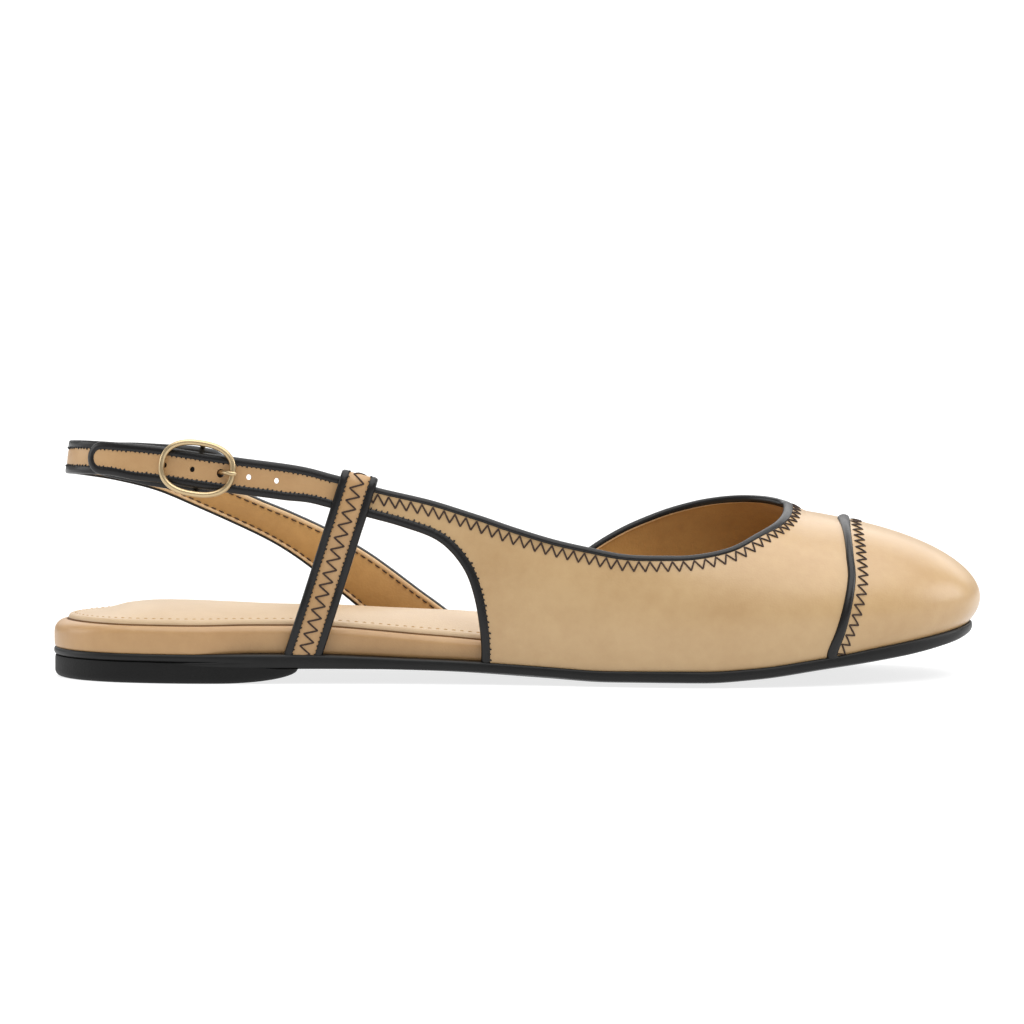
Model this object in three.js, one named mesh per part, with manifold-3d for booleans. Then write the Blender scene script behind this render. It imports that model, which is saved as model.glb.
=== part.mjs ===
// Sling back flat, a right shoe standing empty on its sole
// Millimetres, +X to the toe, -Y to the outer side of the foot, +Z up
import * as THREE from 'three';
import { mergeVertices } from 'three/addons/utils/BufferGeometryUtils.js';
import Module from 'manifold-3d';

const wasm = await Module();
wasm.setup();

// Overall sizes
const length = 250;
const ballWidth = 80;
const heelWidth = 54;
const gap = 0.3;

// Sole
const heelHeight = 4.1;
const heelBlockLength = 66;
const heelRiseLength = 22;
const heelCornerRadius = 1.6;
const toeSpring = 10.8;
const edgeCrown = 1.5;
const outsoleThickness = 3.0;
const outsoleLip = 0.5;
const footbedThickness = 7.8;
const footbedCrown = 2.6;
const footbedSetBack = 0.4;
const sockThickness = 1.3;
const sockSetBack = 0.8;

// Upper
const wallThickness = 2.0;
const capThickness = 0.8;
const featherInset = 0.8;
const bulge = 2.1;
const toeBoxHeight = 44;
const instepHeight = 72;
const flankHeight = 18;
const toeTipHeight = 20.8;
const toeSlope = 0.2;

// Bindings and piping
const bindingWidth = 2.2;
const bindingProud = 0.4;
const pipingWidth = 2.3;
const pipingProud = 0.9;

// Straps
const strapWidth = 9;
const strapLean = THREE.MathUtils.degToRad(7);
const wingTilt = THREE.MathUtils.degToRad(14.5);
const loopTilt = THREE.MathUtils.degToRad(17.5);
const slingHeight = 59.2;
const slingFootWidth = 14.5;
const riseLength = 14;
const slingThickness = 1.6;
const slingStep = 0.6;
const slingBindingProud = 0.2;
const billetThickness = 1.6;
const loopThickness = 1.5;
const loopWidth = 10;
const loopBindingWidth = 2.1;
const holeRadius = 0.8;
const holePitch = 7.5;

// Buckle
const buckleLength = 21;
const buckleHeight = 15.4;
const buckleWire = 0.8;
const ringFullness = 2.4;
const barRadius = 0.7;
const barDepth = -2.4;
const prongRadius = 0.55;
const prongHoleRadius = 1.6;
const prongReach = 6.1;
const barShare = 0.156;
const tipShare = 0.0384;

// Side profile of the sole
// at: share of the length from the heel. lift: share of heelHeight. spring: share of toeSpring
// crown: share of edgeCrown. tread: share of outsoleThickness. bed: share of footbedThickness
// arch: share of footbedCrown
const soleRows = [
  { at: 0.00, lift: 1.00, spring: 0.00, crown: 0.0, tread: 1.35, bed: 1.00, arch: 1.00 },
  { at: 0.26, lift: 1.00, spring: 0.00, crown: 0.0, tread: 1.30, bed: 1.00, arch: 1.00 },
  { at: 0.41, lift: 0.72, spring: 0.00, crown: 0.6, tread: 0.95, bed: 0.83, arch: 1.40 },
  { at: 0.53, lift: 0.24, spring: 0.00, crown: 1.0, tread: 0.90, bed: 0.66, arch: 1.40 },
  { at: 0.60, lift: 0.00, spring: 0.00, crown: 1.0, tread: 0.95, bed: 0.56, arch: 1.20 },
  { at: 0.70, lift: 0.00, spring: 0.00, crown: 1.0, tread: 1.00, bed: 0.48, arch: 1.00 },
  { at: 0.76, lift: 0.00, spring: 0.09, crown: 1.0, tread: 0.97, bed: 0.44, arch: 1.00 },
  { at: 0.83, lift: 0.00, spring: 0.31, crown: 1.0, tread: 0.95, bed: 0.40, arch: 1.00 },
  { at: 0.89, lift: 0.00, spring: 0.48, crown: 1.0, tread: 1.15, bed: 0.38, arch: 1.00 },
  { at: 0.93, lift: 0.00, spring: 0.61, crown: 1.0, tread: 1.20, bed: 0.38, arch: 1.00 },
  { at: 0.97, lift: 0.00, spring: 0.80, crown: 1.0, tread: 1.10, bed: 0.38, arch: 1.00 },
  { at: 1.00, lift: 0.00, spring: 1.03, crown: 1.0, tread: 0.75, bed: 0.38, arch: 1.00 },
];

// Plan outline of the outsole, from the back of the heel to the tip of the toe
// outer and inner: shares of half the heel width, and further on of half the ball width
const heelBackShare = 0.0004;
const heelPlan = [
  { at: 0.018, outer: 0.47, inner: 0.47 },
  { at: 0.060, outer: 0.80, inner: 0.80 },
  { at: 0.130, outer: 0.98, inner: 0.98 },
  { at: 0.200, outer: 1.00, inner: 0.98 },
  { at: 0.280, outer: 0.99, inner: 0.91 },
];
const ballPlan = [
  { at: 0.380, outer: 0.685, inner: 0.560 },
  { at: 0.460, outer: 0.730, inner: 0.515 },
  { at: 0.540, outer: 0.810, inner: 0.550 },
  { at: 0.620, outer: 0.915, inner: 0.700 },
  { at: 0.700, outer: 0.980, inner: 0.870 },
  { at: 0.770, outer: 0.950, inner: 0.960 },
  { at: 0.840, outer: 0.850, inner: 0.955 },
  { at: 0.900, outer: 0.680, inner: 0.865 },
  { at: 0.950, outer: 0.450, inner: 0.700 },
  { at: 0.980, outer: 0.210, inner: 0.490 },
];
const toeTip = { at: 0.9915, inner: 0.15 };

// The last above the sole, behind the toe pole
// ridge: from toeBoxHeight, 0, to instepHeight, 1. flank: height of the widest line, share of flankHeight
// swell: how far the widest line passes the sole's edge, share of bulge. full: exponent of the section
// spine: place of the ridge to the inner side, share of half the ball width
const lastRows = [
  { at: 0.22, ridge: 1.85, flank: 1.20, swell: 0.50, full: 4.2, spine: 0.00 },
  { at: 0.35, ridge: 1.42, flank: 1.15, swell: 0.55, full: 4.0, spine: 0.00 },
  { at: 0.45, ridge: 1.09, flank: 1.05, swell: 0.40, full: 3.4, spine: 0.02 },
  { at: 0.59, ridge: 0.72, flank: 0.95, swell: 0.50, full: 2.4, spine: 0.06 },
  { at: 0.70, ridge: 0.41, flank: 0.90, swell: 0.80, full: 2.1, spine: 0.09 },
  { at: 0.757, ridge: 0.214, flank: 0.95, swell: 0.85, full: 2.1, spine: 0.10 },
  { at: 0.812, ridge: 0.00, flank: 1.00, swell: 0.88, full: 2.2, spine: 0.10 },
];
const poleShare = 0.812;
const heelPoleShare = 0.115;
const frontFullness = 3.6;
const topFullness = 2.0;

// Smooth monotone curve through a column of a table, level past its ends
function curveOf(rows, column) {
  const at = rows.map((row) => row.at);
  const value = rows.map((row) => row[column]);
  const step = at.slice(1).map((next, i) => next - at[i]);
  const slope = step.map((width, i) => (value[i + 1] - value[i]) / width);
  const tangent = at.map((place, i) => {
    if (i === 0) return slope[0];
    if (i === at.length - 1) return slope[i - 1];
    if (slope[i - 1] * slope[i] <= 0) return 0;
    const before = 2 * step[i] + step[i - 1];
    const after = step[i] + 2 * step[i - 1];
    return (before + after) / (before / slope[i - 1] + after / slope[i]);
  });
  return (place) => {
    const last = at.length - 1;
    if (place <= at[0]) return value[0];
    if (place >= at[last]) return value[last];
    let i = 0;
    while (place > at[i + 1]) i += 1;
    const t = (place - at[i]) / step[i];
    const rise = t * t * (3 - 2 * t);
    const lean = t * (1 - t);
    return value[i] * (1 - rise) + value[i + 1] * rise
      + step[i] * lean * (tangent[i] * (1 - t) - tangent[i + 1] * t);
  };
}

const stationX = (at) => (at - 0.5) * length;
const shareAt = (x) => x / length + 0.5;
const mix = (from, to, share) => from + (to - from) * share;
const steps = (from, to, count) => Array.from({ length: count + 1 }, (_, i) => mix(from, to, i / count));

// Heights of the sole's layers along the shoe
const column = (rows, name) => {
  const curve = curveOf(rows, name);
  return (x) => curve(shareAt(x));
};
const lift = column(soleRows, 'lift');
const spring = column(soleRows, 'spring');
const crown = column(soleRows, 'crown');
const tread = column(soleRows, 'tread');
const bed = column(soleRows, 'bed');
const arch = column(soleRows, 'arch');
const soleCentre = (x) => lift(x) * heelHeight + spring(x) * toeSpring;
const soleEdge = (x) => soleCentre(x) + crown(x) * edgeCrown;
const soleTop = (x) => soleEdge(x) + tread(x) * outsoleThickness;
const bedTop = (x) => soleTop(x) + gap + bed(x) * footbedThickness;

// Plan outline of the outsole as a closed curve
function planPoints() {
  const rows = [
    ...heelPlan.map((row) => ({ ...row, half: heelWidth / 2 })),
    ...ballPlan.map((row) => ({ ...row, half: ballWidth / 2 })),
  ];
  const inner = rows.map((row) => new THREE.Vector3(stationX(row.at), row.inner * row.half, 0));
  const outer = rows.map((row) => new THREE.Vector3(stationX(row.at), -row.outer * row.half, 0));
  const back = new THREE.Vector3(stationX(heelBackShare), 0, 0);
  const tip = new THREE.Vector3(stationX(toeTip.at), toeTip.inner * ballWidth / 2, 0);
  return [back, ...inner, tip, ...outer.reverse()];
}
const planCurve = new THREE.CatmullRomCurve3(planPoints(), true, 'centripetal');
const planPointCount = 480;
const planOutline = planCurve.getSpacedPoints(planPointCount);

// Distance from a point inside the outline to it, along a direction
function reach(foot, direction) {
  for (let i = 0; i < planOutline.length - 1; i += 1) {
    const from = planOutline[i];
    const to = planOutline[i + 1];
    const ex = to.x - from.x;
    const ey = to.y - from.y;
    const cross = direction.x * ey - direction.y * ex;
    const along = ((from.x - foot.x) * ey - (from.y - foot.y) * ex) / cross;
    const share = ((from.x - foot.x) * direction.y - (from.y - foot.y) * direction.x) / cross;
    if (along > 0 && share >= 0 && share <= 1) return along;
  }
  throw new Error('the outline is not reached');
}

// Closed mesh from rings of points, the first and last ring closed by a fan or shrunk to a line
function closedMesh(rings) {
  const count = rings[0].length;
  const position = rings.flat().flatMap((point) => [point.x, point.y, point.z]);
  const index = [];
  for (let ring = 0; ring < rings.length - 1; ring += 1) {
    for (let i = 0; i < count; i += 1) {
      const next = (i + 1) % count;
      const a = ring * count + i;
      const b = ring * count + next;
      const c = a + count;
      const d = b + count;
      index.push(a, b, d, a, d, c);
    }
  }
  return cleaned(position, index);
}

// Shared vertices, with the triangles that have no area left out
function cleaned(position, index) {
  const geometry = new THREE.BufferGeometry();
  geometry.setAttribute('position', new THREE.Float32BufferAttribute(position, 3));
  geometry.setIndex(index);
  const merged = mergeVertices(geometry, 1e-3);
  const kept = [];
  for (let i = 0; i < merged.index.count; i += 3) {
    const [a, b, c] = [0, 1, 2].map((corner) => merged.index.getX(i + corner));
    if (a !== b && b !== c && c !== a) kept.push(a, b, c);
  }
  merged.setIndex(kept);
  return merged;
}

// Positions alone, with shared vertices
function bareGeometry(geometry) {
  const bare = geometry.clone();
  bare.deleteAttribute('normal');
  bare.deleteAttribute('uv');
  return mergeVertices(bare, 1e-4);
}

function toSolid(geometry) {
  const merged = bareGeometry(geometry);
  return new wasm.Manifold(new wasm.Mesh({
    numProp: 3,
    vertProperties: new Float32Array(merged.attributes.position.array),
    triVerts: new Uint32Array(merged.index.array),
  }));
}

function toGeometry(solid) {
  const mesh = solid.getMesh();
  const geometry = new THREE.BufferGeometry();
  geometry.setAttribute('position', new THREE.Float32BufferAttribute(mesh.vertProperties, 3));
  geometry.setIndex([...mesh.triVerts]);
  return geometry;
}

// Rays from the spine to the outline, once round the shoe
const spineRow = column(lastRows, 'spine');
const spineY = (x) => spineRow(x) * ballWidth / 2;
const poleX = stationX(poleShare);
const heelPoleX = stationX(heelPoleShare);

function fan(x, fromAngle, toAngle, count) {
  return steps(fromAngle, toAngle, count).map((angle) => ({
    foot: new THREE.Vector2(x, spineY(x)),
    direction: new THREE.Vector2(Math.cos(angle), Math.sin(angle)),
  }));
}

function soleRays(sideCount, fanCount) {
  const side = (sign, from, to) => steps(from, to, sideCount).slice(1, -1).map((x) => ({
    foot: new THREE.Vector2(x, spineY(x)),
    direction: new THREE.Vector2(0, sign),
  }));
  return [
    ...fan(poleX, -Math.PI / 2, Math.PI / 2, fanCount),
    ...side(1, poleX, heelPoleX),
    ...fan(heelPoleX, Math.PI / 2, Math.PI * 1.5, fanCount),
    ...side(-1, heelPoleX, poleX),
  ];
}

// Layer of the sole: rings at a share of the reach less an inset, each with its own height
function soleLayer(rays, rings) {
  const reaches = rays.map((ray) => reach(ray.foot, ray.direction));
  return closedMesh(rings.map((ring) => rays.map((ray, i) => {
    const edgeX = ray.foot.x + ray.direction.x * reaches[i];
    const inset = typeof ring.inset === 'function' ? ring.inset(edgeX) : ring.inset;
    const far = (reaches[i] - inset) * ring.share;
    const x = ray.foot.x + ray.direction.x * far;
    const y = ray.foot.y + ray.direction.y * far;
    return new THREE.Vector3(x, y, ring.height(x, ring.share));
  })));
}

const soleRing = soleRays(20, 10);

// Part of the reach within which a face of the sole is level, or has the ring that shapes its crown
const flatShare = 0.55;
// The outsole's edge is widest between these shares of its height
const edgeWidest = [0.35, 0.75];

function outsole() {
  return soleLayer(soleRing, [
    { share: 0, inset: 0, height: soleCentre },
    { share: flatShare, inset: 0, height: soleCentre },
    { share: 1, inset: outsoleLip, height: soleEdge },
    { share: 1, inset: 0, height: (x) => mix(soleEdge(x), soleTop(x), edgeWidest[0]) },
    { share: 1, inset: 0, height: (x) => mix(soleEdge(x), soleTop(x), edgeWidest[1]) },
    { share: 1, inset: outsoleLip, height: soleTop },
    { share: 0, inset: 0, height: soleTop },
  ].reverse());
}

function heelBlock() {
  const top = () => heelHeight - gap;
  const slab = toSolid(soleLayer(soleRing, [
    { share: 0, inset: 0, height: () => 0 },
    { share: 1, inset: outsoleLip + heelCornerRadius, height: () => 0 },
    { share: 1, inset: outsoleLip + heelCornerRadius * 0.3, height: () => heelCornerRadius * 0.3 },
    { share: 1, inset: outsoleLip, height: () => heelCornerRadius },
    { share: 1, inset: outsoleLip, height: top },
    { share: 0, inset: 0, height: top },
  ].reverse()));
  const front = stationX(heelBackShare) + heelBlockLength;
  const side = new THREE.Shape();
  side.moveTo(stationX(heelBackShare) - 1, -1);
  side.lineTo(front - heelRiseLength, -1);
  side.lineTo(front - heelRiseLength, 0);
  side.absellipse(front - heelRiseLength, top(), heelRiseLength, top(), -Math.PI / 2, 0, false);
  side.lineTo(front, heelHeight);
  side.lineTo(stationX(heelBackShare) - 1, heelHeight);
  const block = new THREE.ExtrudeGeometry(side, { depth: heelWidth * 2, bevelEnabled: false, curveSegments: 8 });
  block.rotateX(Math.PI / 2);
  block.translate(0, heelWidth, 0);
  return toGeometry(slab.intersect(toSolid(block)));
}

// How far the footbed stands in from the outsole's edge: little at the heel, by the wall further on
const heelRimEnd = 0.15;
const waistRimStart = 0.22;

function footbedInset(x) {
  const share = THREE.MathUtils.smoothstep(shareAt(x), heelRimEnd, waistRimStart);
  return mix(footbedSetBack, featherInset + wallThickness + 2 * gap, share);
}

const bedCrown = (x, share) => bedTop(x) + arch(x) * footbedCrown * (1 - share * share);

function footbed() {
  const corner = 0.8;
  const bottom = (x) => soleTop(x) + gap;
  const soften = (x) => footbedInset(x) + corner;
  return soleLayer(soleRing, [
    { share: 0, inset: 0, height: bottom },
    { share: 1, inset: footbedInset, height: bottom },
    { share: 1, inset: footbedInset, height: (x) => bedTop(x) - corner },
    { share: 1, inset: soften, height: bedTop },
    { share: flatShare, inset: soften, height: bedCrown },
    { share: 0, inset: 0, height: (x) => bedCrown(x, 0) },
  ].reverse());
}

function insoleSock() {
  const corner = 0.5;
  const edge = (x) => footbedInset(x) + sockSetBack;
  const soften = (x) => edge(x) + corner;
  const under = (x, share) => bedCrown(x, share) + gap;
  const over = (x, share) => under(x, share) + sockThickness;
  return soleLayer(soleRing, [
    { share: 0, inset: 0, height: (x) => under(x, 0) },
    { share: flatShare, inset: edge, height: under },
    { share: 1, inset: edge, height: under },
    { share: 1, inset: edge, height: (x, share) => over(x, share) - corner },
    { share: 1, inset: soften, height: over },
    { share: flatShare, inset: edge, height: over },
    { share: 0, inset: 0, height: (x) => over(x, 0) },
  ].reverse());
}

// Half section of the last along a ray, from the ridge over the widest line in to the sole
const ridgeRow = column(lastRows, 'ridge');
const flankRow = column(lastRows, 'flank');
const swellRow = column(lastRows, 'swell');
const fullRow = column(lastRows, 'full');
const ridgeHeight = (x) => mix(toeBoxHeight, instepHeight, ridgeRow(x));
const roundSteps = 36;
const tuckSteps = 6;
const sections = new Map();

function halfSection(foot, direction) {
  const key = [foot.x, direction.x, direction.y].map((value) => value.toFixed(5)).join();
  if (!sections.has(key)) sections.set(key, measureSection(foot, direction));
  return sections.get(key);
}

function measureSection(foot, direction) {
  const forward = direction.x ** 2;
  const sole = reach(foot, direction);
  const widest = sole + bulge * mix(swellRow(foot.x), 1, forward);
  const feather = sole - featherInset;
  const featherZ = soleTop(foot.x + direction.x * feather) + gap;
  const widestZ = mix(flankRow(foot.x) * flankHeight, toeTipHeight, forward);
  const ridgeZ = ridgeHeight(foot.x);
  const full = mix(fullRow(foot.x), frontFullness, forward);
  const points = steps(0, Math.PI / 2, roundSteps).map((turn) => {
    const r = widest * Math.sin(turn) ** (2 / full);
    const top = ridgeZ - toeSlope * direction.x * r;
    return { r, z: widestZ + (top - widestZ) * Math.max(Math.cos(turn), 0) ** (2 / topFullness) };
  });
  steps(0, 1, tuckSteps).slice(1).forEach((share) => {
    points.push({ r: widest - (widest - feather) * share ** 2, z: mix(widestZ, featherZ, share) });
  });
  let arc = 0;
  return points.map((point, i) => {
    if (i > 0) arc += Math.hypot(point.r - points[i - 1].r, point.z - points[i - 1].z);
    return { ...point, arc };
  });
}

// The pattern plane: a is the station along the shoe, b the arc length down from the ridge, negative on the
// outer side. Past the toe pole the arc lengths run out from the pole like spokes
function patternRay(a, b) {
  const behind = a <= poleX;
  const arc = behind ? Math.abs(b) : Math.hypot(a - poleX, b);
  const foot = new THREE.Vector2(behind ? a : poleX, spineY(behind ? a : poleX));
  const direction = behind
    ? new THREE.Vector2(0, b < 0 ? -1 : 1)
    : new THREE.Vector2((a - poleX) / arc, b / arc);
  return { foot, direction, arc };
}

function lastPoint(a, b) {
  const { foot, direction, arc } = patternRay(a, b);
  const section = halfSection(foot, direction);
  let i = 0;
  while (i < section.length - 2 && section[i + 1].arc < arc) i += 1;
  const share = (arc - section[i].arc) / (section[i + 1].arc - section[i].arc);
  const r = mix(section[i].r, section[i + 1].r, share);
  const z = mix(section[i].z, section[i + 1].z, share);
  return new THREE.Vector3(foot.x + direction.x * r, foot.y + direction.y * r, z);
}

// Point at a distance w outside the last
function onLast(a, b, w) {
  const reachOut = 0.4;
  const along = lastPoint(a + reachOut, b).sub(lastPoint(a - reachOut, b));
  const down = lastPoint(a, b + reachOut).sub(lastPoint(a, b - reachOut));
  return lastPoint(a, b).addScaledVector(along.cross(down).normalize(), w);
}

// Pattern place of the point at a station and a height, on the outer (-1) or inner (1) side
function patternAt(x, height, side) {
  const find = (foot, direction) => {
    const section = halfSection(foot, direction);
    let i = 0;
    while (i < section.length - 2 && section[i + 1].z > height) i += 1;
    const share = (section[i].z - height) / (section[i].z - section[i + 1].z);
    return {
      arc: mix(section[i].arc, section[i + 1].arc, share),
      r: mix(section[i].r, section[i + 1].r, share),
    };
  };
  if (x <= poleX) {
    const foot = new THREE.Vector2(x, spineY(x));
    return new THREE.Vector2(x, side * find(foot, new THREE.Vector2(0, side)).arc);
  }
  const foot = new THREE.Vector2(poleX, spineY(poleX));
  let sideways = 0;
  let ahead = Math.PI / 2;
  for (let i = 0; i < 24; i += 1) {
    const turn = (sideways + ahead) / 2;
    const { r } = find(foot, new THREE.Vector2(Math.sin(turn), side * Math.cos(turn)));
    if (poleX + Math.sin(turn) * r < x) sideways = turn;
    else ahead = turn;
  }
  const direction = new THREE.Vector2(Math.sin(ahead), side * Math.cos(ahead));
  return direction.multiplyScalar(find(foot, direction.clone()).arc).add(new THREE.Vector2(poleX, 0));
}

// Even points on a smooth curve through points of the pattern plane
function smoothLine(points, count) {
  const curve = new THREE.CatmullRomCurve3(
    points.map((point) => new THREE.Vector3(point.x, point.y, 0)), false, 'centripetal');
  return curve.getSpacedPoints(count).map((point) => new THREE.Vector2(point.x, point.y));
}

// The line moved to its left by a real distance on the last
function besideLine(line, distance) {
  return line.map((point, i) => {
    const ahead = line[Math.min(i + 1, line.length - 1)];
    const behind = line[Math.max(i - 1, 0)];
    const left = new THREE.Vector2(behind.y - ahead.y, ahead.x - behind.x).normalize();
    const probe = 0.5;
    const from = lastPoint(point.x - left.x * probe, point.y - left.y * probe);
    const to = lastPoint(point.x + left.x * probe, point.y + left.y * probe);
    const stretch = from.distanceTo(to) / (2 * probe);
    return point.clone().addScaledVector(left, distance / stretch);
  });
}

// Band that follows a line of the pattern, its section given as places beside the line and heights
function bandOnLast(line, section) {
  const rails = section.map((corner) => besideLine(line, corner.beside));
  const rings = line.map((_, i) => section.map((corner, k) => onLast(rails[k][i].x, rails[k][i].y, corner.w)));
  return sweptRings(rings);
}

// Closed mesh through rings of section points, with flat ends, or joined end to end
function sweptRings(rings, joined = false) {
  const count = rings[0].length;
  const position = rings.flat().flatMap((point) => [point.x, point.y, point.z]);
  const index = [];
  for (let ring = 0; ring < rings.length - (joined ? 0 : 1); ring += 1) {
    const next = (ring + 1) % rings.length;
    for (let i = 0; i < count; i += 1) {
      const side = (i + 1) % count;
      const [a, b, c, d] = [ring * count + i, ring * count + side, next * count + side, next * count + i];
      index.push(a, b, c, a, c, d);
    }
  }
  if (!joined) {
    const end = (rings.length - 1) * count;
    capFaces(rings[0]).forEach(([a, b, c]) => index.push(a, c, b, end + a, end + b, end + c));
  }
  return faceOut(cleaned(position, index));
}

// Triangles of a flat section, wound like its outline
function capFaces(ring) {
  const normal = new THREE.Vector3();
  ring.forEach((point, i) => {
    normal.add(point.clone().sub(ring[0]).cross(ring[(i + 1) % ring.length].clone().sub(ring[0])));
  });
  normal.normalize();
  const across = ring[1].clone().sub(ring[0]).normalize();
  const up = normal.clone().cross(across);
  const flat = ring.map((point) => new THREE.Vector2(point.dot(across), point.dot(up)));
  return THREE.ShapeUtils.triangulateShape(flat, []);
}

// The same mesh with its faces pointing out
function faceOut(geometry) {
  const at = (i) => new THREE.Vector3().fromBufferAttribute(geometry.attributes.position, geometry.index.getX(i));
  let volume = 0;
  for (let i = 0; i < geometry.index.count; i += 3) {
    volume += at(i).dot(at(i + 1).cross(at(i + 2)));
  }
  if (volume < 0) geometry.setIndex([...geometry.index.array].reverse());
  return geometry;
}

// Slab of the pattern plane between two distances from the last, bowed so that its grid survives the cuts
const bow = 4e-4;
const bowed = (a, b, w) => new THREE.Vector3(a, b, w + bow * (a * a + b * b));
const patternBack = stationX(0.29);

function patternSpokes() {
  const side = (sign, from, to, count) => steps(from, to, count).map((a) => ({
    from: new THREE.Vector2(a, 0),
    direction: new THREE.Vector2(0, sign),
  }));
  const toe = steps(-Math.PI / 2, Math.PI / 2, 20).slice(1, -1).map((angle) => ({
    from: new THREE.Vector2(poleX, 0),
    direction: new THREE.Vector2(Math.cos(angle), Math.sin(angle)),
  }));
  const spokes = [...side(-1, patternBack, poleX, 20), ...toe, ...side(1, poleX, patternBack, 20)];
  return spokes.map((spoke) => {
    const foot = new THREE.Vector2(spoke.from.x, spineY(spoke.from.x));
    return { ...spoke, arc: halfSection(foot, spoke.direction).at(-1).arc };
  });
}

function patternSlab(low, high) {
  const spokes = patternSpokes();
  const ring = (share, w) => spokes.map((spoke) => {
    const place = spoke.from.clone().addScaledVector(spoke.direction, spoke.arc * share);
    return bowed(place.x, place.y, w);
  });
  const shares = steps(0, 1, 11);
  const rings = [
    ...shares.map((share) => ring(share, high)),
    ...shares.reverse().map((share) => ring(share, low)),
  ];
  return toSolid(faceOut(closedMesh(rings)));
}

// Upright prism over an outline of the pattern plane, through any bowed slab
const prismBase = -length / 12;
const prismDepth = length / 4;

function patternPrism(outline) {
  const prism = new THREE.ExtrudeGeometry(new THREE.Shape(outline), { depth: prismDepth, bevelEnabled: false });
  return toSolid(prism.translate(0, 0, prismBase));
}

function mappedSolid(solid, place) {
  const geometry = toGeometry(solid);
  const position = geometry.attributes.position;
  for (let i = 0; i < position.count; i += 1) {
    const a = position.getX(i);
    const b = position.getY(i);
    const point = place(a, b, position.getZ(i) - bow * (a * a + b * b));
    position.setXYZ(i, point.x, point.y, point.z);
  }
  return cleaned(position.array, [...geometry.index.array]);
}

// Lines of the upper, as the real edges with their bindings
// height: share of the ridge's height there, and for the seam share of toeBoxHeight
const wingRows = [
  { at: 0.305, height: 0.643 },
  { at: 0.353, height: 0.635 },
  { at: 0.413, height: 0.636 },
  { at: 0.460, height: 0.622 },
  { at: 0.498, height: 0.603 },
  { at: 0.537, height: 0.586 },
  { at: 0.576, height: 0.579 },
  { at: 0.614, height: 0.578 },
  { at: 0.653, height: 0.602 },
  { at: 0.691, height: 0.640 },
  { at: 0.730, height: 0.719 },
  { at: 0.757, height: 0.820 },
  { at: 0.777, height: 0.906 },
  { at: 0.7865, height: 0.966 },
];
const throatFrontShare = 0.7885;
const innerRows = [
  { at: 0.7865, height: 0.992 },
  { at: 0.777, height: 0.980 },
  { at: 0.757, height: 0.944 },
  { at: 0.730, height: 0.889 },
  { at: 0.691, height: 0.803 },
  { at: 0.653, height: 0.713 },
  { at: 0.614, height: 0.613 },
  { at: 0.576, height: 0.499 },
  { at: 0.540, height: 0.369 },
  { at: 0.508, height: 0.229 },
  { at: 0.487, height: 0.132 },
];
const cutoutRows = [
  { at: 0.305, height: 0.542 },
  { at: 0.338, height: 0.533 },
  { at: 0.377, height: 0.524 },
  { at: 0.411, height: 0.505 },
  { at: 0.428, height: 0.472 },
  { at: 0.444, height: 0.407 },
  { at: 0.4535, height: 0.320 },
  { at: 0.4595, height: 0.203 },
  { at: 0.4610, height: 0.136 },
];
const seamTopShare = 0.848;
const seamRows = [
  { at: 0.8537, height: 0.790 },
  { at: 0.8556, height: 0.670 },
  { at: 0.8515, height: 0.510 },
  { at: 0.8440, height: 0.345 },
  { at: 0.8360, height: 0.215 },
];
const wingEndShare = 0.324;

const rowPoints = (rows, fullHeight, side) => rows.map((row) => {
  const x = stationX(row.at);
  return patternAt(x, row.height * fullHeight(x), side);
});
const beyond = length * 0.8;

// Place a little above the sole, straight down from a point of the pattern
function downToSole(point, side) {
  const foot = new THREE.Vector2(point.x, spineY(point.x));
  const arc = halfSection(foot, new THREE.Vector2(0, side)).at(-1).arc;
  return new THREE.Vector2(point.x, side * (arc - bindingWidth));
}

// The wing ends square to its length: its top corner lies as far ahead of its middle as its low one behind
const wingEndX = stationX(wingEndShare);
const wingEndSlant = strapWidth / 2 * Math.sin(wingTilt);

// Height of a line of the upper at a station
const lineHeight = (rows, x) => column(rows, 'height')(x) * ridgeHeight(x);

// Rows of a line from the wing's end on
function fromWingEnd(rows, x) {
  const start = patternAt(x, lineHeight(rows, x), -1);
  return [start, ...rowPoints(rows, ridgeHeight, -1).filter((point) => point.x > x + 1)];
}

function toplineLine() {
  const outer = fromWingEnd(wingRows, wingEndX + wingEndSlant);
  const inner = rowPoints(innerRows, ridgeHeight, 1);
  const end = downToSole(new THREE.Vector2(stationX(0.478), 0), 1);
  return smoothLine([...outer, new THREE.Vector2(stationX(throatFrontShare), 0), ...inner, end], 50);
}

function cutoutLine() {
  const rows = fromWingEnd(cutoutRows, wingEndX - wingEndSlant);
  return smoothLine([...rows, downToSole(rows.at(-1), -1)], 22);
}

// The seam of the toe cap, from the outer side over the ridge to the inner side
function seamLine() {
  const foot = new THREE.Vector2(poleX, spineY(poleX));
  const ahead = halfSection(foot, new THREE.Vector2(1, 0));
  const target = stationX(seamTopShare) - poleX;
  const top = ahead.find((point) => point.r > target);
  const outer = rowPoints(seamRows, () => toeBoxHeight, -1);
  const inner = rowPoints(seamRows, () => toeBoxHeight, 1);
  const middle = new THREE.Vector2(poleX + top.arc - (top.r - target), 0);
  const sole = (point) => {
    const out = point.clone().sub(new THREE.Vector2(poleX, 0)).normalize();
    const arc = halfSection(foot, out).at(-1).arc;
    return out.multiplyScalar(arc - pipingWidth).add(new THREE.Vector2(poleX, 0));
  };
  return smoothLine([sole(outer.at(-1)), ...outer.reverse(), middle, ...inner, sole(inner.at(-1))], 34);
}

const topline = toplineLine();
const cutout = cutoutLine();
const seam = seamLine();

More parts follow.
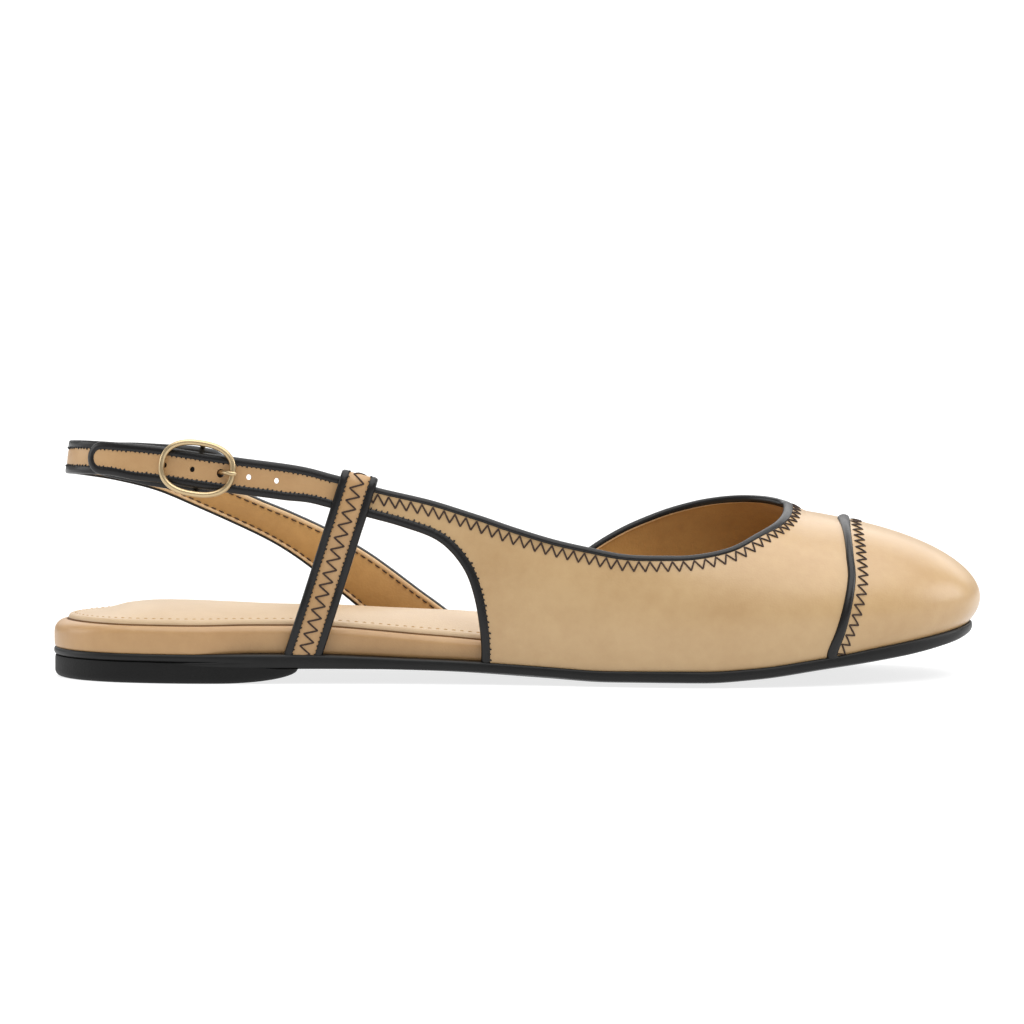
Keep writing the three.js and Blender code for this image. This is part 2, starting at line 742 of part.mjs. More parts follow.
// Side of the vamp's pattern in front of a line, out past every edge
function inFrontOf(line) {
  return [
    ...line,
    new THREE.Vector2(line.at(-1).x, beyond),
    new THREE.Vector2(beyond, beyond),
    new THREE.Vector2(beyond, -beyond),
    new THREE.Vector2(line[0].x, -beyond),
  ];
}

function upper() {
  const edge = besideLine(topline, -bindingWidth - gap);
  const cut = besideLine(cutout, bindingWidth + gap).reverse();
  const outline = [
    ...edge,
    new THREE.Vector2(edge.at(-1).x, beyond),
    new THREE.Vector2(beyond, beyond),
    new THREE.Vector2(beyond, -beyond),
    new THREE.Vector2(cut[0].x, -beyond),
    ...cut,
  ];
  const wall = patternSlab(-wallThickness, 0).intersect(patternPrism(outline));
  const underCap = -capThickness - gap;
  const step = patternSlab(underCap, gap * 3).intersect(patternPrism(inFrontOf(besideLine(seam, gap))));
  return faceOut(mappedSolid(wall.subtract(step), onLast));
}

function toeCap() {
  const edge = besideLine(seam, -pipingWidth - gap);
  const cap = patternSlab(-capThickness, 0).intersect(patternPrism(inFrontOf(edge)));
  return faceOut(mappedSolid(cap, onLast));
}

const bindingShoulder = 0.5;
const bindingSection = (side) => [
  { beside: 0, w: -wallThickness },
  { beside: 0, w: 0 },
  { beside: side * bindingShoulder, w: bindingProud },
  { beside: side * bindingWidth, w: bindingProud },
  { beside: side * bindingWidth, w: -wallThickness - bindingProud },
  { beside: side * bindingShoulder, w: -wallThickness - bindingProud },
];

const pipingShoulder = 0.6;
const pipingFlank = pipingProud - 0.55;
const pipingSection = [
  { beside: 0, w: -capThickness },
  { beside: 0, w: pipingFlank },
  { beside: -pipingShoulder, w: pipingProud },
  { beside: pipingShoulder - pipingWidth, w: pipingProud },
  { beside: -pipingWidth, w: pipingFlank },
  { beside: -pipingWidth, w: -capThickness },
];

// The strap line: middle of the sling strap's outer face, from the inner edge of the sole round the heel
// across: share of the outsole's half width there. height: share of slingHeight. flare: from strapWidth to slingFootWidth
const strapRows = [
  { at: 0.427, across: 0.991, height: 0.110, flare: 1.00 },
  { at: 0.401, across: 0.996, height: 0.194, flare: 1.00 },
  { at: 0.377, across: 1.006, height: 0.267, flare: 1.00 },
  { at: 0.331, across: 1.036, height: 0.417, flare: 0.86 },
  { at: 0.288, across: 1.049, height: 0.543, flare: 0.50 },
  { at: 0.251, across: 1.035, height: 0.631, flare: 0.20 },
  { at: 0.214, across: 1.006, height: 0.703, flare: 0.04 },
  { at: 0.164, across: 0.953, height: 0.797, flare: 0.00 },
  { at: 0.116, across: 0.879, height: 0.885, flare: 0.00 },
  { at: 0.068, across: 0.771, height: 0.944, flare: 0.00 },
  { at: 0.030, across: 0.592, height: 0.980, flare: 0.00 },
  { at: 0.0156, across: 0.000, height: 1.000, flare: 0.00 },
  { at: 0.030, across: -0.592, height: 1.014, flare: 0.00 },
  { at: 0.068, across: -0.771, height: 1.017, flare: 0.00 },
  { at: 0.116, across: -0.858, height: 1.012, flare: 0.00 },
  { at: 0.160, across: -0.903, height: 0.990, flare: 0.00 },
  { at: 0.200, across: -0.922, height: 0.963, flare: 0.00 },
];
const billetLow = slingBindingProud + gap;
const billetHigh = billetLow + billetThickness;
const wingMiddle = (wallThickness + billetLow + billetHigh) / 2;

// Middle of the wing at its end, in the loop
const wingEndMiddle = (lineHeight(wingRows, wingEndX) + lineHeight(cutoutRows, wingEndX)) / 2;

// The last rows of the strap line, over riseLength, lie on the wing's own surface, so that billet and wing meet in the loop
function strapPoints() {
  const free = strapRows.map((row) => {
    const x = stationX(row.at);
    const half = reach(new THREE.Vector2(x, 0), new THREE.Vector2(0, row.across < 0 ? -1 : 1));
    return new THREE.Vector3(x, row.across * half, row.height * slingHeight);
  });
  const rise = [1, 0.5, 0].map((share) => {
    const back = share * riseLength;
    const x = wingEndX - back;
    const height = wingEndMiddle + back * Math.tan(wingTilt);
    const place = patternAt(x, height, -1);
    return onLast(place.x, place.y, -wingMiddle);
  });
  return [...free, ...rise];
}
const strapCurve = new THREE.CatmullRomCurve3(strapPoints(), false, 'centripetal');
strapCurve.arcLengthDivisions = 900;
const strapLength = strapCurve.getLength();

// How far the sling has widened at a distance s along the strap line: 1 at the sole
const flareAt = curveOf(strapRows.map((row, i) => ({ at: i / (strapRows.length + 2), flare: row.flare })), 'flare');
const strapShare = (s) => THREE.MathUtils.clamp(s / strapLength, 0, 1);
const flare = (s) => flareAt(strapCurve.getUtoTmapping(strapShare(s)));

// Axes of the strap at a distance s along it: along, up its width and out of its face
function strapFrame(s) {
  const share = strapShare(s);
  const lean = strapLean * (1 - flare(s));
  const along = strapCurve.getTangentAt(share);
  const level = new THREE.Vector3(along.y, -along.x, 0).normalize();
  const rise = level.clone().cross(along);
  const up = rise.clone().multiplyScalar(Math.cos(lean)).addScaledVector(level, -Math.sin(lean));
  const out = level.clone().multiplyScalar(Math.cos(lean)).addScaledVector(rise, Math.sin(lean));
  const origin = strapCurve.getPointAt(share).addScaledVector(along, s - share * strapLength);
  return { origin, along, up, out };
}

function onStrap(s, v, w) {
  const { origin, up, out } = strapFrame(s);
  return origin.addScaledVector(up, v).addScaledVector(out, w);
}

// Distance along the strap line to a station on the outer side
function strapAt(x) {
  let low = strapLength / 2;
  let high = strapLength;
  for (let i = 0; i < 24; i += 1) {
    const middle = (low + high) / 2;
    if (strapCurve.getPointAt(middle / strapLength).x < x) low = middle;
    else high = middle;
  }
  return low;
}

const barAt = strapAt(stationX(barShare));
const tipAt = strapAt(stationX(tipShare));
const slingEnd = barAt - barRadius * 4;
const slingHalf = (s) => mix(strapWidth, slingFootWidth, flare(s)) / 2;

// Everything under the outsole's top face and its clearance
function underSole() {
  const side = new THREE.Shape();
  const past = 0.7 * length;
  const stepCount = 90;
  const stations = steps(-past, past, stepCount);
  side.moveTo(stations[0], -length);
  side.lineTo(stations.at(-1), -length);
  stations.reverse().forEach((x) => side.lineTo(x, soleTop(x) + gap));
  const block = new THREE.ExtrudeGeometry(side, { depth: ballWidth * 2, bevelEnabled: false });
  block.rotateX(Math.PI / 2);
  return toSolid(block.translate(0, ballWidth, 0));
}

const standing = (geometry) => toGeometry(toSolid(geometry).subtract(underSole()));

// Solid of the strap's own plane through rings of section places, bowed like the pattern
function strapSolid(stations, section) {
  return toSolid(sweptRings(stations.map((s) => section(s).map(([v, w]) => bowed(s, v, w)))));
}

const slingStart = -slingFootWidth;
const slingStations = steps(slingStart, slingEnd, 34);

function slingStrap() {
  const core = strapSolid(slingStations, (s) => {
    const half = slingHalf(s);
    const ridge = half - bindingWidth - gap;
    return [
      [-half, -slingThickness],
      [half, -slingThickness],
      [half, -slingStep],
      [ridge, -slingStep],
      [ridge, 0],
      [-ridge, 0],
      [-ridge, -slingStep],
      [-half, -slingStep],
    ];
  });
  const eyes = [1, -1].map((side) => eyeTab(side));
  const whole = eyes.reduce((solid, eye) => solid.add(eye), core);
  return standing(faceOut(mappedSolid(whole, onStrap)));
}

// One of the two tabs of the sling's end that fold round the buckle's bar, beside the prong
function eyeTab(side) {
  const hole = barRadius + gap;
  const outer = hole + slingThickness - slingStep;
  const root = slingEnd - barAt - slingThickness;
  const tab = new THREE.Shape();
  tab.moveTo(root, -slingThickness + 0.1);
  tab.absarc(0, barDepth, outer, -Math.PI * 0.83, Math.PI * 0.64, false);
  tab.lineTo(root, -slingStep - 0.1);
  const eye = new THREE.Path();
  eye.absarc(0, barDepth, hole, 0, Math.PI * 2, true);
  tab.holes.push(eye);
  const wide = strapWidth / 2 - barRadius;
  const clear = prongRadius + gap;
  const geometry = new THREE.ExtrudeGeometry(tab, { depth: wide - clear, bevelEnabled: false, curveSegments: 14 });
  const position = geometry.attributes.position;
  for (let i = 0; i < position.count; i += 1) {
    const v = side > 0 ? clear + position.getZ(i) : -wide + position.getZ(i);
    const point = bowed(barAt + position.getX(i), v, position.getY(i));
    position.setXYZ(i, point.x, point.y, point.z);
  }
  return toSolid(faceOut(bareGeometry(geometry)));
}

function slingBinding(side) {
  const rings = slingStations.map((s) => {
    const half = slingHalf(s);
    const places = [
      [half - bindingWidth, gap - slingStep],
      [half, gap - slingStep],
      [half, slingBindingProud * 0.5],
      [half - bindingWidth * 0.3, slingBindingProud],
      [half - bindingWidth, slingBindingProud],
    ];
    return places.map(([v, w]) => onStrap(s, side * v, w));
  });
  return standing(sweptRings(rings));
}

// Outline of the billet's plane at an inset from its edge: straight sides and a round tip
function billetOutline(inset, end) {
  const half = strapWidth / 2 - inset;
  const centre = tipAt + strapWidth / 2;
  const straight = steps(end, centre, 16);
  const tip = steps(Math.PI / 2, Math.PI * 1.5, 10).map((angle) => new THREE.Vector2(
    centre + half * Math.cos(angle), half * Math.sin(angle)));
  return [
    ...straight.slice(0, -1).map((s) => new THREE.Vector2(s, half)),
    ...tip,
    ...straight.slice(0, -1).reverse().map((s) => new THREE.Vector2(s, -half)),
  ];
}
const billetEnd = strapLength - 4 * gap;

function billetStrap() {
  const stations = steps(tipAt, billetEnd, 20);
  const slab = strapSolid(stations, () => [
    [-strapWidth, billetLow],
    [strapWidth, billetLow],
    [strapWidth, billetHigh],
    [-strapWidth, billetHigh],
  ]);
  const shape = slab.intersect(patternPrism(billetOutline(bindingWidth + gap, billetEnd)));
  const holes = [-2, -1, 0, 1, 2].map((place) => {
    const circle = new THREE.Path();
    const radius = place === 0 ? prongHoleRadius : holeRadius;
    circle.absarc(barAt + prongReach + place * holePitch, 0, radius, 0, Math.PI * 2);
    return patternPrism(circle.getPoints(10).slice(1));
  });
  return faceOut(mappedSolid(holes.reduce((solid, hole) => solid.subtract(hole), shape), onStrap));
}

function billetBinding() {
  const outer = billetOutline(0, billetEnd);
  const inner = billetOutline(bindingWidth, billetEnd);
  const shoulder = billetOutline(bindingWidth * 0.3, billetEnd);
  const rings = outer.map((edge, i) => [
    onStrap(edge.x, edge.y, billetLow),
    onStrap(edge.x, edge.y, billetHigh),
    onStrap(shoulder[i].x, shoulder[i].y, billetHigh + slingBindingProud),
    onStrap(inner[i].x, inner[i].y, billetHigh + slingBindingProud),
    onStrap(inner[i].x, inner[i].y, billetLow),
  ]);
  return sweptRings(rings);
}

// The loop strap: up the outer side from the sole, over the wing's end and down behind it
// Its own places: u across it and along the wing, v up it from the middle of the wing, w out of the last
function onLoop(u, v, w) {
  const x = wingEndX + u * Math.cos(wingTilt) + v * Math.sin(loopTilt);
  const height = wingEndMiddle - u * Math.sin(wingTilt) + v * Math.cos(loopTilt);
  const place = patternAt(x, height, -1);
  return onLast(place.x, place.y, w);
}

function loopLine() {
  const down = wingEndMiddle - soleCentre(wingEndX) - loopThickness;
  const half = loopThickness / 2;
  const slot = strapWidth / 2 + gap;
  const front = bindingProud + gap + half;
  const back = -wallThickness - bindingProud - gap - half;
  const low = -half;
  const points = [
    ...steps(-down, -slot * 5, 4).map((v) => [v, low]),
    [-slot * 3.2, mix(low, front, 0.35)],
    [-slot * 2.0, mix(low, front, 0.8)],
    [-slot, front],
    [0, front],
    [slot - half, front],
    [slot + half * 0.75, mix(front, back, 0.16)],
    [slot + half, mix(front, back, 0.5)],
    [slot + half * 0.75, mix(front, back, 0.84)],
    [slot - half, back],
    [0, back],
    [-slot, back],
    [-slot - loopThickness, mix(front, back, 0.8)],
    [-slot - loopThickness * 2, mix(front, back, 0.5)],
  ];
  return new THREE.CatmullRomCurve3(points.map(([v, w]) => new THREE.Vector3(v, w, 0)), false, 'centripetal');
}

function loopRibbon(from, to) {
  const line = loopLine();
  const half = loopThickness / 2;
  const rings = steps(0, 1, 32).map((share) => {
    const centre = line.getPointAt(share);
    const along = line.getTangentAt(share);
    const corner = (u, thick) => {
      const v = centre.x - along.y * thick;
      const w = centre.y + along.x * thick;
      return onLoop(u, v, w);
    };
    return [corner(from, -half), corner(to, -half), corner(to, half), corner(from, half)];
  });
  return standing(sweptRings(rings));
}

// Tube of a round wire along places in one plane of the strap at the buckle
function wire(places, toPoint, radius, closed) {
  const sides = closed ? 8 : 6;
  const last = places.length - 1;
  const rings = places.map((place, i) => {
    const ahead = places[closed ? (i + 1) % places.length : Math.min(i + 1, last)];
    const behind = places[closed ? (i + last) % places.length : Math.max(i - 1, 0)];
    const normal = new THREE.Vector2(behind.y - ahead.y, ahead.x - behind.x).normalize();
    return Array.from({ length: sides }, (_, side) => {
      const angle = (side / sides) * Math.PI * 2;
      const moved = place.clone().addScaledVector(normal, radius * Math.cos(angle));
      return toPoint(moved.x, moved.y, radius * Math.sin(angle));
    });
  });
  return sweptRings(rings, closed);
}

function buckleAxes() {
  const { origin, along, up, out } = strapFrame(barAt);
  return (s, v, w) => origin.clone().addScaledVector(along, s).addScaledVector(up, v).addScaledVector(out, w);
}
const atBuckle = buckleAxes();
const ringDepth = billetHigh + slingBindingProud + gap + buckleWire;

function buckleFrame() {
  const power = 2 / ringFullness;
  const oval = steps(0, Math.PI * 2, 36).slice(1).map((angle) => {
    const c = Math.cos(angle);
    const d = Math.sin(angle);
    return new THREE.Vector2(
      Math.sign(c) * Math.abs(c) ** power * (buckleLength / 2 - buckleWire),
      Math.sign(d) * Math.abs(d) ** power * (buckleHeight / 2 - buckleWire));
  });
  const ring = wire(oval, (s, v, w) => atBuckle(s, v, w + ringDepth), buckleWire, true);
  const top = buckleHeight / 2 - buckleWire;
  const straight = strapWidth / 2;
  const half = [
    [top, ringDepth],
    [top - buckleWire * 0.3, billetHigh],
    [top - buckleWire * 0.6, billetLow],
    [straight + buckleWire, barDepth * 0.7],
    [straight, barDepth],
    [straight / 2, barDepth],
  ];
  const path = [...half, [0, barDepth], ...half.toReversed().map(([v, w]) => [-v, w])];
  const curve = new THREE.CatmullRomCurve3(path.map(([v, w]) => new THREE.Vector3(v, w, 0)), false, 'centripetal');
  const places = curve.getSpacedPoints(24).map((point) => new THREE.Vector2(point.x, point.y));
  const bar = wire(places, (v, w, s) => atBuckle(s, v, w), barRadius, false);
  return toGeometry(toSolid(ring).add(toSolid(bar)));
}

function buckleProng() {
  const hook = barRadius + gap + prongRadius;
  const round = steps(Math.PI * 0.83, Math.PI * 1.92, 6).map((angle) => [
    hook * Math.cos(angle), barDepth + hook * Math.sin(angle)]);
  const rest = ringDepth + buckleWire + gap + prongRadius;
  const limb = buckleLength / 2 - buckleWire;
  const points = [
    ...round,
    [prongReach * 0.58, barDepth * 0.62],
    [prongReach * 0.84, -0.1],
    [prongReach * 1.12, billetHigh + prongRadius],
    [limb - buckleWire * 1.8, rest - prongRadius],
    [limb, rest],
    [limb + buckleWire * 1.6, rest - 0.1],
  ];
  const curve = new THREE.CatmullRomCurve3(points.map(([s, w]) => new THREE.Vector3(s, w, 0)), false, 'centripetal');
  const places = curve.getSpacedPoints(24).map((point) => new THREE.Vector2(point.x, point.y));
  return wire(places, (s, w, v) => atBuckle(s, v, w), prongRadius, false);
}

// Colours from the photo
const leather = (color) => new THREE.MeshStandardMaterial({ color, roughness: 0.45, metalness: 0 });
const tan = leather(0xc8a578);
const black = leather(0x15110f);
const rubber = new THREE.MeshStandardMaterial({ color: 0x171413, roughness: 0.55, metalness: 0 });
const gold = new THREE.MeshStandardMaterial({ color: 0xd2bf98, roughness: 0.25, metalness: 1 });

const shoe = new THREE.Group();
function add(name, geometry, material) {
  const mesh = new THREE.Mesh(geometry, material);
  mesh.name = name;
  shoe.add(mesh);
}
add('outsole', faceOut(outsole()), rubber);
add('heel_block', faceOut(heelBlock()), rubber);
add('footbed', faceOut(footbed()), tan);
add('insole_sock', faceOut(insoleSock()), tan);
add('upper', upper(), tan);
add('toe_cap', toeCap(), tan);
add('toe_seam_piping', bandOnLast(seam, pipingSection), black);
add('topline_binding', bandOnLast(topline, bindingSection(-1)), black);
add('cutout_binding', bandOnLast(cutout, bindingSection(1)), black);

const loopHalf = loopWidth / 2;
const loopCore = loopHalf - loopBindingWidth - gap / 2;
add('loop_strap', loopRibbon(-loopCore, loopCore), tan);
add('loop_binding_back', loopRibbon(-loopHalf, -loopCore - gap), black);
add('loop_binding_front', loopRibbon(loopCore + gap, loopHalf), black);
add('sling_strap', slingStrap(), tan);
add('sling_binding_top', slingBinding(1), black);
add('sling_binding_bottom', slingBinding(-1), black);
add('billet_strap', billetStrap(), tan);
add('billet_binding', billetBinding(), black);
add('buckle_frame', buckleFrame(), gold);
add('buckle_prong', buckleProng(), gold);

// The origin is the bottom centre of the whole shoe
const whole = new THREE.Box3().setFromObject(shoe);
shoe.position.set(-(whole.min.x + whole.max.x) / 2, -(whole.min.y + whole.max.y) / 2, -whole.min.z);

export default shoe;
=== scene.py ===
"""A right sling back flat, standing empty on its sole.

Its leather, bindings, stitches and buckle are made in millimetres, +X to the toe, -Y to the outer side, and
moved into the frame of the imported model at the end.
"""
import math

import bpy
import numpy as np
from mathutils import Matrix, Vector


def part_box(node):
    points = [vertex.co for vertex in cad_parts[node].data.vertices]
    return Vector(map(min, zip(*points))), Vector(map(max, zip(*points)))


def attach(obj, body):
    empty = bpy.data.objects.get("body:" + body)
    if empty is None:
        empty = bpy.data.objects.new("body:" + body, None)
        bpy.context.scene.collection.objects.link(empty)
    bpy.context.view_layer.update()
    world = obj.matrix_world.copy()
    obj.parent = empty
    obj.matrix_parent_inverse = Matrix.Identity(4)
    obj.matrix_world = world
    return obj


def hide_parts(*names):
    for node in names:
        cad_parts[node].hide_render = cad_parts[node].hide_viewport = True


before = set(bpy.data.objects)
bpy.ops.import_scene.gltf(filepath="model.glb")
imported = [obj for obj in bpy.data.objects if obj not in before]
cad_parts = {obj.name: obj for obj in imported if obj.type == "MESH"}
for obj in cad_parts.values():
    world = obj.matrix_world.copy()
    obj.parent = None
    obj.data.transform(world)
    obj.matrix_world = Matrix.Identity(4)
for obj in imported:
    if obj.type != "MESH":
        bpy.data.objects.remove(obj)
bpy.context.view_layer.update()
MM = 0.001

# Overall sizes, as in the CAD model
LENGTH = 250.0
BALL_WIDTH = 80.0
HEEL_WIDTH = 54.0
CLEAR = 0.3

# Sole
HEEL_HEIGHT = 4.1
HEEL_BLOCK_LENGTH = 66.0
HEEL_RISE_LENGTH = 22.0
TOE_SPRING = 10.8
EDGE_CROWN = 1.5
OUTSOLE_THICKNESS = 3.0
FOOTBED_THICKNESS = 7.8
FOOTBED_SET_BACK = 0.1

# Upper
WALL = 2.0
LINING_DEPTH = 1.4
FEATHER_INSET = 0.8
BULGE = 2.1
TOE_BOX_HEIGHT = 44.0
INSTEP_HEIGHT = 72.0
FLANK_HEIGHT = 18.0
TOE_TIP_HEIGHT = 20.8
TOE_SLOPE = 0.2
FRONT_FULLNESS = 3.6

# Bindings, straps and buckle
BINDING_WIDTH = 2.2
PIPING_WIDTH = 2.3
STRAP_WIDTH = 9.0
STRAP_LEAN = math.radians(7)
WING_TILT = math.radians(14.5)
LOOP_TILT = math.radians(17.5)
SLING_HEIGHT = 59.2
SLING_FOOT_WIDTH = 14.5
BILLET_LOW = 0.5
BILLET_THICKNESS = 1.6
BILLET_SLACK = 0.8
LOOP_THICKNESS = 1.5
LOOP_WIDTH = 10.0
LOOP_EDGE = 2.1
HOLE_RADIUS = 0.65
HOLE_PITCH = 7.5
PRONG_HOLE_RADIUS = 1.0
PRONG_REACH = 6.1
BUCKLE_LENGTH = 21.0
BUCKLE_HEIGHT = 15.4
BUCKLE_WIRE = 0.8
RING_SQUARENESS = 2.4
BAR_RADIUS = 0.7
BAR_DEPTH = -2.4
PRONG_RADIUS = 0.6


def rows(names, *lines):
    """A table by the names of its columns. at is the share of the length from the heel."""
    return dict(zip(names.split(), np.array(lines, float).T))


# Side profile of the sole, as shares of the sizes above
SOLE = rows(
    "at lift spring crown tread bed",
    (0.00, 1.00, 0.00, 0.0, 1.35, 1.00),
    (0.26, 1.00, 0.00, 0.0, 1.30, 1.00),
    (0.41, 0.72, 0.00, 0.6, 0.95, 0.83),
    (0.53, 0.24, 0.00, 1.0, 0.90, 0.66),
    (0.60, 0.00, 0.00, 1.0, 0.95, 0.56),
    (0.70, 0.00, 0.00, 1.0, 1.00, 0.48),
    (0.76, 0.00, 0.09, 1.0, 0.97, 0.44),
    (0.83, 0.00, 0.31, 1.0, 0.95, 0.40),
    (0.89, 0.00, 0.48, 1.0, 1.15, 0.38),
    (0.93, 0.00, 0.61, 1.0, 1.20, 0.38),
    (0.97, 0.00, 0.80, 1.0, 1.10, 0.38),
    (1.00, 0.00, 1.03, 1.0, 0.75, 0.38),
)

# Plan outline of the outsole, as shares of half the heel width, and further on of half the ball width
HEEL_BACK = 0.0004
HEEL_PLAN = rows(
    "at outer inner",
    (0.018, 0.47, 0.47),
    (0.060, 0.80, 0.80),
    (0.130, 0.98, 0.98),
    (0.200, 1.00, 0.98),
    (0.280, 0.99, 0.91),
)
BALL_PLAN = rows(
    "at outer inner",
    (0.380, 0.685, 0.560),
    (0.460, 0.730, 0.515),
    (0.540, 0.810, 0.550),
    (0.620, 0.915, 0.700),
    (0.700, 0.980, 0.870),
    (0.770, 0.950, 0.960),
    (0.840, 0.850, 0.955),
    (0.900, 0.680, 0.865),
    (0.950, 0.450, 0.700),
    (0.980, 0.210, 0.490),
)
TOE_TIP = (0.9915, 0.15)

# The last above the sole, behind the toe pole
LAST = rows(
    "at ridge flank swell full spine",
    (0.22, 1.85, 1.20, 0.50, 4.2, 0.00),
    (0.35, 1.42, 1.15, 0.55, 4.0, 0.00),
    (0.45, 1.09, 1.05, 0.40, 3.4, 0.02),
    (0.59, 0.72, 0.95, 0.50, 2.4, 0.06),
    (0.70, 0.41, 0.90, 0.80, 2.1, 0.09),
    (0.757, 0.214, 0.95, 0.85, 2.1, 0.10),
    (0.812, 0.00, 1.00, 0.88, 2.2, 0.10),
)
POLE = 0.812
HEEL_POLE = 0.115

# Edges of the upper: height as a share of the ridge's height there
WING = rows(
    "at height",
    (0.305, 0.643), (0.353, 0.635), (0.413, 0.636), (0.460, 0.622), (0.498, 0.603), (0.537, 0.586),
    (0.576, 0.579), (0.614, 0.578), (0.653, 0.602), (0.691, 0.640), (0.730, 0.719), (0.757, 0.820),
    (0.777, 0.906), (0.7865, 0.966),
)
THROAT_FRONT = 0.7885
INNER = rows(
    "at height",
    (0.7865, 0.992), (0.777, 0.980), (0.757, 0.944), (0.730, 0.889), (0.691, 0.803), (0.653, 0.713),
    (0.614, 0.613), (0.576, 0.499), (0.540, 0.369), (0.508, 0.229), (0.487, 0.132),
)
CUTOUT = rows(
    "at height",
    (0.305, 0.542), (0.338, 0.533), (0.377, 0.524), (0.411, 0.505), (0.428, 0.472),
    (0.444, 0.407), (0.4535, 0.320), (0.4595, 0.203), (0.461, 0.136),
)
SEAM_TOP = 0.848
SEAM = rows(
    "at height",
    (0.8537, 0.790), (0.8556, 0.670), (0.8515, 0.510), (0.8440, 0.345), (0.8360, 0.215),
)
WING_END = 0.324

# Middle of the sling strap's outer face, from the inner edge of the sole round the heel
SLING = rows(
    "at across height flare",
    (0.427, 0.991, 0.110, 1.00), (0.401, 0.996, 0.194, 1.00), (0.377, 1.006, 0.267, 1.00),
    (0.331, 1.036, 0.417, 0.86), (0.288, 1.049, 0.543, 0.50), (0.251, 1.035, 0.631, 0.20),
    (0.214, 1.006, 0.703, 0.04), (0.164, 0.953, 0.797, 0.00), (0.116, 0.879, 0.885, 0.00),
    (0.068, 0.771, 0.944, 0.00), (0.030, 0.592, 0.980, 0.00), (0.0156, 0.000, 1.000, 0.00),
    (0.030, -0.592, 1.014, 0.00), (0.068, -0.771, 1.015, 0.00), (0.116, -0.858, 1.003, 0.00),
    (0.160, -0.903, 0.978, 0.00), (0.200, -0.922, 0.955, 0.00),
)
BAR_PLACE = 0.1575
TIP_PLACE = 0.0425


# Curves

def monotone(at, value):
    """Smooth monotone curve through points, level past its ends."""
    step = np.diff(at)
    slope = np.diff(value) / step
    tangent = np.zeros(len(at))
    tangent[0] = slope[0]
    tangent[-1] = slope[-1]
    for i in range(1, len(at) - 1):
        if slope[i - 1] * slope[i] > 0:
            before = 2 * step[i] + step[i - 1]
            after = step[i] + 2 * step[i - 1]
            tangent[i] = (before + after) / (before / slope[i - 1] + after / slope[i])

    def curve(place):
        place = np.clip(place, at[0], at[-1])
        i = np.clip(np.searchsorted(at, place, side="right") - 1, 0, len(at) - 2)
        t = (place - at[i]) / step[i]
        rise = t * t * (3 - 2 * t)
        lean = step[i] * t * (1 - t) * (tangent[i] * (1 - t) - tangent[i + 1] * t)
        return value[i] * (1 - rise) + value[i + 1] * rise + lean

    return curve


def column(table, name):
    curve = monotone(table["at"], table[name])
    return lambda x: curve(np.asarray(x, float) / LENGTH + 0.5)


def station(at):
    return (at - 0.5) * LENGTH


def mix(a, b, share):
    return a + (b - a) * share


def smooth_step(value, low, high):
    t = np.clip((value - low) / (high - low), 0, 1)
    return t * t * (3 - 2 * t)


def centripetal(points, closed=False, fine=40):
    """Dense points on a centripetal curve through points, and the share of the points passed at each."""
    points = np.array(points, float)
    count = len(points)
    pieces = []
    spans = count if closed else count - 1
    t = np.linspace(0, 1, fine, endpoint=False)[:, None]
    for i in range(spans):
        p1 = points[i]
        p2 = points[(i + 1) % count]
        p0 = points[i - 1] if closed or i > 0 else 2 * p1 - p2
        p3 = points[(i + 2) % count] if closed or i < count - 2 else 2 * p2 - p1
        d0, d1, d2 = (np.sum((b - a) ** 2) ** 0.25 for a, b in ((p0, p1), (p1, p2), (p2, p3)))
        m1 = ((p1 - p0) / d0 - (p2 - p0) / (d0 + d1) + (p2 - p1) / d1) * d1
        m2 = ((p2 - p1) / d1 - (p3 - p1) / (d1 + d2) + (p3 - p2) / d2) * d1
        cube = 2 * p1 - 2 * p2 + m1 + m2
        square = -3 * p1 + 3 * p2 - 2 * m1 - m2
        pieces.append(p1 + m1 * t + square * t**2 + cube * t**3)
    pieces.append(points[:1] if closed else points[-1:])
    return np.concatenate(pieces), np.arange(spans * fine + 1) / (spans * fine)


def arc_lengths(points):
    return np.concatenate([[0], np.cumsum(np.linalg.norm(np.diff(points, axis=0), axis=1))])


def along(points, arcs, places):
    return np.stack([np.interp(places, arcs, points[:, k]) for k in range(points.shape[1])], axis=-1)


def even(points, count):
    """The same line as count + 1 points at even distances."""
    arcs = arc_lengths(points)
    return along(points, arcs, np.linspace(0, arcs[-1], count + 1))


# The sole's heights and outline

lift = column(SOLE, "lift")
spring = column(SOLE, "spring")
crown = column(SOLE, "crown")
tread = column(SOLE, "tread")
bed = column(SOLE, "bed")


def sole_centre(x):
    return lift(x) * HEEL_HEIGHT + spring(x) * TOE_SPRING


def sole_edge(x):
    return sole_centre(x) + crown(x) * EDGE_CROWN


def sole_top(x):
    return sole_edge(x) + tread(x) * OUTSOLE_THICKNESS


def bed_top(x):
    return sole_top(x) + CLEAR + bed(x) * FOOTBED_THICKNESS


def plan_points():
    at = np.concatenate([HEEL_PLAN["at"], BALL_PLAN["at"]])
    halves = {
        side: np.concatenate([HEEL_PLAN[side] * HEEL_WIDTH / 2, BALL_PLAN[side] * BALL_WIDTH / 2])
        for side in ("inner", "outer")
    }
    inner = np.stack([station(at), halves["inner"]], axis=1)
    outer = np.stack([station(at), -halves["outer"]], axis=1)
    back = [(station(HEEL_BACK), 0)]
    tip = [(station(TOE_TIP[0]), TOE_TIP[1] * BALL_WIDTH / 2)]
    return np.concatenate([back, inner, tip, outer[::-1]])


PLAN = even(centripetal(plan_points(), closed=True)[0], 2000)
SHIFT = np.array([
    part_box("outsole")[0][0] / MM - PLAN[:, 0].min(),
    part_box("outsole")[1][1] / MM - PLAN[:, 1].max(),
    0,
])


